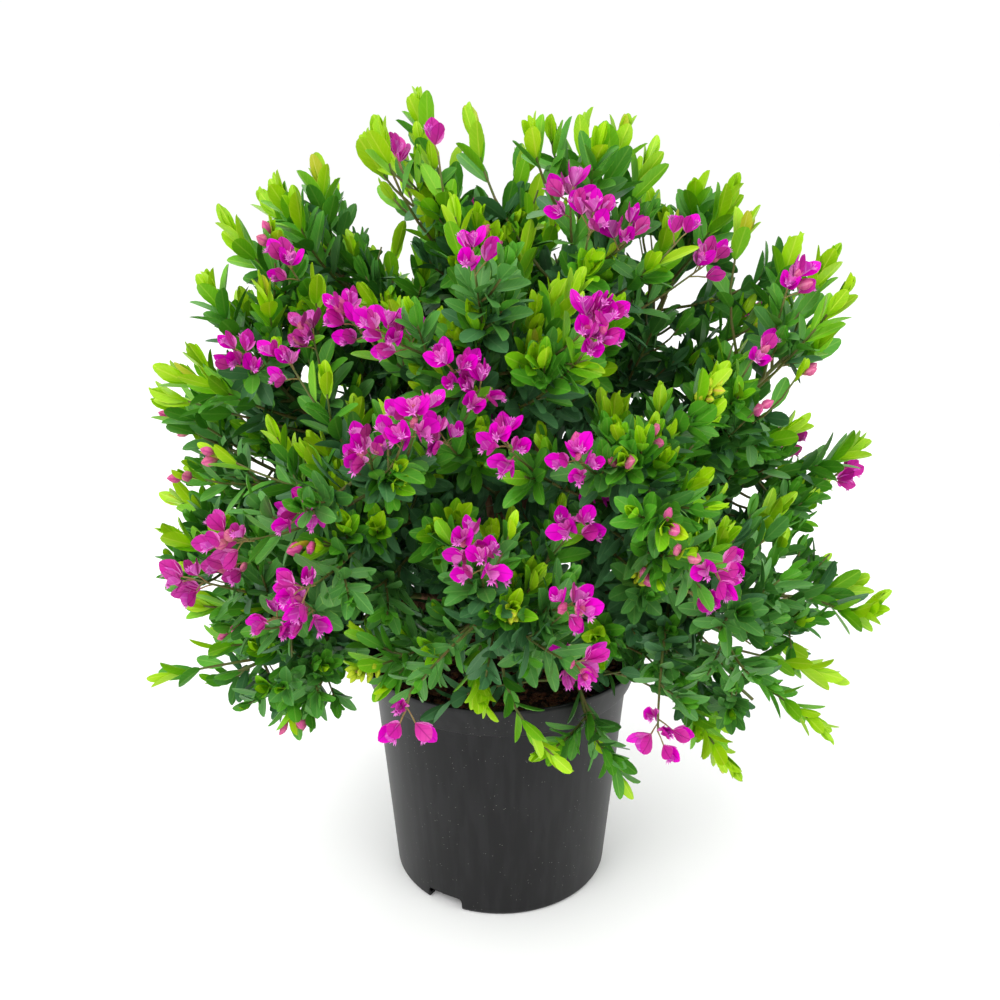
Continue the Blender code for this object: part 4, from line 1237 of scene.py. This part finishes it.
def turned(profile, sides):
    """A lathed surface: each profile point (r, z) swept to (r cos a, r sin a, z), its ends closed."""
    turns = np.arange(sides) * math.tau / sides
    ring = np.stack((np.cos(turns), np.sin(turns)), 1)
    height = np.repeat(profile[:, 1], sides).reshape(-1, sides, 1)
    verts = np.concatenate((profile[:, None, :1] * ring[None], height), 2).reshape(-1, 3)
    ends = [(0.0, 0.0, z) for z in profile[[0, -1], 1]]
    last = len(verts)
    triangles = np.concatenate((grid_triangles(len(profile), sides, True), fan(0, sides, last, True),
                                fan(last - sides, sides, last + 1)))
    return np.concatenate((verts, ends)), triangles


def arc(centre, radius, first, last, count):
    """Points on a circle in the profile's plane between two angles in degrees."""
    angles = np.radians(np.linspace(first, last, count))
    return np.stack((centre[0] + radius * np.cos(angles), centre[1] + radius * np.sin(angles)), 1)


def make_pot():
    """The pot: rounded foot, tapered body, soft shoulder, flared band, rolled lip and drain slots."""
    shoulder = POT_HEIGHT - BAND_HEIGHT
    lip = WALL / 2
    profile = np.concatenate([np.asarray(part) for part in (
        ((0.0005, 0.0016), (BASE_RADIUS * 0.80, 0.0016), (BASE_RADIUS * 0.84, 0.0)),
        arc((BASE_RADIUS - 0.004, 0.004), 0.004, -90, 0, 6),
        ((BODY_TOP_RADIUS - 0.0008, shoulder - 0.004),),
        arc((BODY_TOP_RADIUS + 0.0022, shoulder - 0.0012), 0.0026, 180, 110, 4),
        arc((BAND_FOOT_RADIUS - 0.0010, shoulder + SHOULDER_RISE), 0.0014, -60, 0, 4),
        ((RIM_RADIUS - 0.0006, POT_HEIGHT - 0.004),),
        arc((RIM_RADIUS - lip, POT_HEIGHT - lip), lip, 0, 180, 8),
        ((BAND_FOOT_RADIUS - WALL, shoulder + SHOULDER_RISE + 0.001), (BODY_TOP_RADIUS - WALL, shoulder)),
        ((BASE_RADIUS - WALL, FLOOR + 0.001), (BASE_RADIUS - WALL - 0.002, FLOOR), (0.0005, FLOOR)),
    )])
    made = piece("pot_shell", turned(profile, POT_SIDES), GRAIN_FINISHES["black_plastic"])
    for heading in SLOT_HEADINGS:
        cut_slot(made, heading)
    made.data.shade_smooth()
    made.data.set_sharp_from_angle(angle=math.radians(40))
    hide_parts("pot")


def cut_slot(pot, heading):
    """Cuts one drain slot, a rounded block, out of the foot of the pot, and applies the cut."""
    bpy.ops.mesh.primitive_cube_add(size=1.0)
    cutter = bpy.context.object
    cutter.data.transform(Matrix.Diagonal((SLOT_DEPTH * 2, SLOT_WIDTH, SLOT_HEIGHT * 2, 1.0)))
    place = aim(heading, 0) * BASE_RADIUS
    cutter.location = place.tolist()
    cutter.rotation_euler.z = math.radians(heading)
    rounding = cutter.modifiers.new("rounding", "BEVEL")
    rounding.width = 0.004
    rounding.segments = 3
    cut = pot.modifiers.new("slot", "BOOLEAN")
    cut.operation = "DIFFERENCE"
    cut.object = cutter
    graph = bpy.context.evaluated_depsgraph_get()
    mesh = bpy.data.meshes.new_from_object(pot.evaluated_get(graph))
    pot.modifiers.clear()
    pot.data = mesh
    bpy.data.objects.remove(cutter, do_unlink=True)


def make_soil(chance):
    """The crumbly soil: rings of points whose height is a sum of sines and fine random crumbs."""
    rings, sides = SOIL_GRID
    radius = np.linspace(0.0008, SOIL_EDGE, rings)[:, None]
    turns = (np.arange(sides) * math.tau / sides)[None]
    x, y = radius * np.cos(turns), radius * np.sin(turns)
    crown = SOIL_LEVEL + SOIL_CROWN
    level = np.interp(radius, (0.0, 0.030, 0.062, 0.092, SOIL_EDGE),
                      (crown, crown, SOIL_LEVEL, SOIL_LEVEL - 0.002, SOIL_LEVEL - 0.004))
    lumps = 0.0011 * np.sin(160 * x + 3) * np.sin(140 * y + 1) + 0.0009 * np.sin(310 * x - 280 * y)
    crumbs = chance.uniform(-0.0011, 0.0011, x.shape) * np.minimum(1.0, radius / 0.012)
    near_trunk = np.hypot(x - TRUNK_FOOT[0], y - TRUNK_FOOT[1]) < FLARE_RADIUS + 0.003
    z = level + np.where(near_trunk, -0.0004, lumps + crumbs)
    verts = np.stack((x, y, z), -1).reshape(-1, 3)
    below = SOIL_LEVEL - SOIL_DEPTH
    skirt = np.stack((radius[-1] * np.cos(turns[0]), radius[-1] * np.sin(turns[0]), np.full(sides, below)), 1)
    verts = np.concatenate((verts, skirt, ((0.0, 0.0, crown), (0.0, 0.0, below))))
    centre, under = len(verts) - 2, len(verts) - 1
    body = grid_triangles(rings + 1, sides, True)[:, ::-1]
    triangles = np.concatenate((body, fan(0, sides, centre), fan(rings * sides, sides, under, True)))
    made = piece("soil_top", (verts, triangles), GRAIN_FINISHES["peat"])
    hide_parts("soil")
    make_chips(chance)


def make_chips(chance):
    """Loose bark chips: flat uneven blocks, each the corners of a box moved at random, lying on the soil."""
    reach = 0.103 * np.sqrt(chance.uniform(0.04, 1.0, CHIPS))
    turn = chance.uniform(0, math.tau, CHIPS)
    level = np.interp(reach, (0.03, 0.062, 0.103), (SOIL_LEVEL + SOIL_CROWN, SOIL_LEVEL, SOIL_LEVEL - 0.002))
    place = np.stack((reach * np.cos(turn), reach * np.sin(turn), level), 1)
    clear = np.hypot(place[:, 0] - TRUNK_FOOT[0], place[:, 1] - TRUNK_FOOT[1]) > FLARE_RADIUS + 0.006
    place = place[clear]
    count = len(place)
    corners = np.array([(i, j, k) for i in (-1, 1) for j in (-1, 1) for k in (-1, 1)], float)
    local = corners[None] * (1 + chance.uniform(-0.35, 0.35, (count, 8, 3)))
    size = np.stack([chance.uniform(*sizes, count) for sizes in CHIP_SIZES], 1)
    local = local * size[:, None]
    along = unit(aim(np.degrees(chance.uniform(0, math.tau, count)), chance.uniform(-14, 14, count)))
    across = unit(np.cross(UP, along))
    above = np.cross(along, across)
    verts = local[..., :1] * along[:, None] + local[..., 1:2] * across[:, None]
    verts = verts + local[..., 2:] * above[:, None] + place[:, None] + UP * 0.0009
    quads = ((0, 1, 3, 2), (4, 6, 7, 5), (0, 4, 5, 1), (2, 3, 7, 6), (0, 2, 6, 4), (1, 5, 7, 3))
    triangles = np.array([(a, b, c) for a, b, c, d in quads] + [(a, c, d) for a, b, c, d in quads])
    arrays = verts.reshape(-1, 3), spread_triangles(triangles, 8, count)
    piece("bark_chips", arrays, GRAIN_FINISHES["bark_chip"], smooth=False)


def make_stage():
    """A plain pale floor, soft lights and the camera."""
    bpy.ops.mesh.primitive_plane_add(size=FLOOR_SIZE)
    floor = bpy.context.object
    floor.name = "floor"
    plain = bpy.data.materials.new("pale_floor")
    plain.use_nodes = True
    shader = plain.node_tree.nodes["Principled BSDF"]
    shader.inputs["Base Color"].default_value = (1.0, 1.0, 1.0, 1)
    shader.inputs["Roughness"].default_value = 0.9
    floor.data.materials.append(plain)
    world = bpy.data.worlds.new("studio")
    bpy.context.scene.world = world
    bpy.context.scene.view_settings.view_transform = "Standard"
    world.use_nodes = True
    back = world.node_tree.nodes["Background"]
    back.inputs["Color"].default_value = (1.0, 1.0, 1.0, 1)
    back.inputs["Strength"].default_value = 1.02
    for name, place, size, power in (
        ("key", (-1.3, -1.5, 2.3), 1.4, 38.0),
        ("fill", (1.7, -1.2, 1.5), 1.8, 18.0),
        ("rim", (0.3, 1.8, 2.2), 1.6, 16.0),
    ):
        light = bpy.data.lights.new(name, "AREA")
        light.size = size
        light.energy = power
        lamp = bpy.data.objects.new(name, light)
        lamp.location = place
        towards = np.array((0.0, 0.0, 0.32)) - np.array(place)
        level = math.hypot(towards[0], towards[1])
        heading = math.atan2(towards[1], towards[0])
        lamp.rotation_euler = (math.atan2(level, -towards[2]), 0.0, heading - math.pi / 2)
        bpy.context.scene.collection.objects.link(lamp)
    camera = bpy.data.cameras.new("camera")
    camera.lens = LENS
    camera.sensor_width = SENSOR
    holder = bpy.data.objects.new("camera", camera)
    holder.location = CAMERA_PLACE.tolist()
    holder.rotation_euler = (math.radians(90 - CAMERA_PITCH), 0.0, 0.0)
    bpy.context.scene.collection.objects.link(holder)
    bpy.context.scene.camera = holder


def limbs_in_outline():
    """The limbs, with their stems drawn in to the outline in the photograph."""
    limbs = [Limb(row) for row in MASSES]
    stems = np.array([limb.stem for limb in limbs])
    within_outline(stems)
    for limb, stem in zip(limbs, stems):
        limb.stem = stem
    return limbs


class Crown:
    """The crown's shoots, bent to the tips, blooms, buds, tufts and gaps in the photograph.

    leaders, blooming, budding, fresh and tufted give the shoot at each place of their tables, or -1, and
    taken marks those. grows marks the shoots clear of the pot, leads the young leaders, by_rim the shoots
    that hang by the rim before the pot, and hidden those behind that may bloom by chance.
    """

    def __init__(self, limbs, chance):
        shoots = [shoots_of(limb, chance) for limb in limbs]
        courses = np.concatenate(shoots)
        spread_tips(courses)
        within_outline(courses)
        tufts_out_of_gaps(courses)
        taken = np.zeros(len(courses), bool)
        self.leaders = lead(courses, LEADER_PIXELS, taken)
        self.blooming = steer(courses, BLOOM_PIXELS[:, :2], taken, BLOOM_FORWARD)
        self.budding = steer(courses, BUD_PIXELS, taken, BUD_FORWARD)
        self.fresh = steer(courses, FRESH_BUD_PIXELS, taken, FRESH_BUD_FORWARD)
        self.tufted = steer(courses, YOUNG_TUFT_PIXELS, taken, TUFT_FORWARD)
        stems_out_of_gaps(courses, ~np.isin(np.arange(len(courses)), self.leaders))
        over_rim(courses)
        self.courses, self.taken = courses, taken
        self.grows = stands_clear(courses)
        self.leads = np.zeros(len(courses), bool)
        led = self.leaders >= 0
        self.leads[self.leaders[led]] = LEADER_PIXELS[led, 4] > OLD_LEADER
        tufts = tufts_of(courses)
        self.hidden = (courses[:, 2, 1] > HIDDEN_FROM) & self.grows & ~taken & ~shows_in_gap(tufts, GAP_SIGHT)
        columns, rows = seen_at(tufts)[:2]
        self.by_rim = (columns > RIM_PIXELS[0]) & (columns < RIM_PIXELS[1]) & (rows > RIM_PIXELS[2])
        self.height = (courses[:, 2, 2] - CROWN_FOOT) / CROWN_HEIGHT
        self.outer = np.linalg.norm(courses[:, 2] - FORK, axis=1) / CROWN_RADIUS
        loose = np.repeat([limb.loose for limb in limbs], [len(own) for own in shoots])
        self.size = np.where(loose, LOOSE_SHOOT_SIZE, 1.0)
        self.size *= LOW_LEAF_SIZE + (HIGH_LEAF_SIZE - LOW_LEAF_SIZE) * np.clip(self.height, 0, 1)

    def growing(self, chosen):
        """Those of the chosen shoots that there are and that grow."""
        return chosen[(chosen >= 0) & self.grows[chosen]]

    def elsewhere(self, share, chance):
        """A share of the hidden shoots."""
        return np.flatnonzero(self.hidden & (chance.uniform(0, 1, len(self.courses)) < share))

    def bloomers(self, chance):
        """The blooming shoots, how many flowers each has, and which of the flowers are faded."""
        seen = (self.blooming >= 0) & self.grows[self.blooming]
        elsewhere = self.elsewhere(BLOOM_SHARE_ELSEWHERE, chance)
        counts = np.concatenate((BLOOM_PIXELS[seen, 2], chance.integers(*FLOWERS_ELSEWHERE, len(elsewhere))))
        faded = np.concatenate((BLOOM_PIXELS[seen, 3], chance.integers(0, 2, len(elsewhere)))) == 1
        return np.concatenate((self.blooming[seen], elsewhere)), counts, np.repeat(faded, counts)

    def youth(self, chance):
        """How young each shoot's leaves are, 0 to 1: by chance and height, less in front, or the tables."""
        youth = np.clip(chance.uniform(*YOUTHS, len(self.courses)) + HIGH_YOUTH * self.height, 0, 1)
        youth[(self.courses[:, 2, 1] < FRONT_TO) & (self.height < FRONT_UP_TO) & ~self.taken] *= FRONT_YOUTH
        led = self.leaders >= 0
        youth[self.leaders[led]] = LEADER_PIXELS[led, 4] / 10
        tufted = self.tufted[self.tufted >= 0]
        youth[tufted] = np.clip(youth[tufted], TUFT_YOUTH, 1)
        return youth


def side_spray(crown, limbs, youth, chance):
    """The side shoots, but for those by the rim, and the short shoots inside the crown."""
    bearing = np.flatnonzero(crown.grows & ~crown.leads)
    stems, boughs = np.array([limb.stem for limb in limbs]), np.array([limb.course for limb in limbs])
    inside = np.concatenate((inner_shoots_of(stems, STEM_SHOOT_SHARES, chance),
                             inner_shoots_of(boughs, BOUGH_SHOOT_SHARES, chance)))
    courses = np.concatenate((side_shoots_of(crown.courses[bearing], chance), inside))

    def spread(values, inner_value):
        """Each bearing shoot's value for all its side shoots, and one value for the shoots inside."""
        return np.concatenate((np.tile(values[bearing], SIDE_SHOOTS), np.full(len(inside), inner_value)))

    grows = clear_of_pot(bend(courses[:, None], np.linspace(0.0, 1.0, 6))).all(1)
    grows &= spread(~crown.by_rim, True)
    own_youth = np.clip(spread(youth, 0.0) - SIDE_YOUTH_LOSS, 0, 1)
    own_size = spread(crown.size * SIDE_LEAF_SIZE, INNER_LEAF_SIZE)
    # the shoots inside count as 0 out, so all their leaves take the painted shade colour
    return Spray(courses[grows], LEAVES_A_SIDE_SHOOT, own_youth[grows], own_size[grows],
                 spread(crown.outer, 0.0)[grows], LEAF_LEEWAY, LEAFY_SHOOT, False, True)


def sprays_of(crown, limbs, youth, blossoming, chance):
    """The sprays of leaves: on the leading shoots, the others, the side shoots, the stems and the sprigs."""
    side = side_spray(crown, limbs, youth, chance)
    grows = crown.grows & (crown.taken | ~crown.by_rim)
    leads = crown.leads | crown.by_rim
    bears = np.zeros(len(grows), bool)
    bears[blossoming] = True
    led, own = grows & leads, grows & ~leads
    tips = crown.courses[led, 2]
    leader_size = np.minimum(
        np.interp(tips[:, 1], (-0.19, -0.03), (FRONT_LEADER_LEAF_SIZE, LEADER_LEAF_SIZE)),
        np.interp(tips[:, 2], (0.20, 0.29), (LOW_LEADER_LEAF_SIZE, LEADER_LEAF_SIZE)))
    stems = np.array([limb.stem for limb in limbs])
    sprigs = sprigs_of(stems[[limb.name for limb in limbs].index("front_centre")])
    each, few = np.ones(len(stems)), np.ones(len(sprigs))
    return (
        Spray(crown.courses[led], LEAVES_A_LEADER, youth[led], leader_size, crown.outer[led], LEADER_LEEWAY,
              LEAFY_LEADER, bears[led], False),
        Spray(crown.courses[own], LEAVES_A_SHOOT, youth[own], crown.size[own], crown.outer[own], LEAF_LEEWAY,
              LEAFY_SHOOT, bears[own], ~crown.taken[own]),
        side,
        Spray(stems, LEAVES_A_STEM, each * STEM_YOUTH, each * STEM_LEAF_SIZE, each * STEM_OUTER,
              LEAF_LEEWAY, LEAFY_STEM, True, False),
        Spray(sprigs, LEAVES_A_SPRIG, SPRIGS[:, 6] / 10, few * SPRIG_LEAF_SIZE, few, LEADER_LEEWAY,
              LEAFY_SPRIG, True, False),
    )


def grow():
    """Grows the crown and dresses the trunk, soil and pot."""
    chance = np.random.default_rng(SEED)
    limbs = limbs_in_outline()
    crown = Crown(limbs, chance)
    bloomers, counts, faded = crown.bloomers(chance)
    flowers = flower_frames(crown.courses[bloomers], counts, FLOWER_STEP, 1.0, chance)
    more = crown.elsewhere(BUD_SHARE_ELSEWHERE, chance)
    budded = np.concatenate((crown.growing(crown.budding), more, bloomers[::3]))
    fresh = crown.growing(crown.fresh)
    youth = crown.youth(chance)
    sprays = sprays_of(crown, limbs, youth, np.concatenate((bloomers, budded, fresh)), chance)
    made, standing = make_leaves(sprays, flowers[1] + flowers[2] * HEART_DEPTH, chance)
    led, rest, side, stems, sprigs = sprays
    drawn = np.concatenate((led.courses[standing[0]], rest.courses[standing[1]], sprigs.courses))
    made.append(make_twigs(stems.courses, drawn, side.courses[standing[2]]))
    made += make_flowers(*flowers[1:], faded, chance)
    buds = flower_frames(crown.courses[budded], BUDS_A_SHOOT, FLOWER_STEP, BUD_STALK, chance)
    made.append(make_buds("buds", *buds[1:], BUD_LENGTH, chance))
    fresh_buds = flower_frames(crown.courses[fresh], FRESH_BUDS_A_SHOOT, FRESH_BUD_STEP, FRESH_BUD_STALK,
                               chance)
    made.append(make_buds("fresh_buds", *fresh_buds[1:], FRESH_BUD_LENGTH, chance))
    made.append(make_stalks(*[np.concatenate(ends) for ends in zip(flowers[:2], buds[:2], fresh_buds[:2])]))
    for own in made:
        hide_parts(*[f"foliage_{limb.name}" for limb in limbs])
    make_boughs(limbs, chance)
    make_trunk(chance)
    make_soil(chance)
    make_pot()


grow()
make_stage()
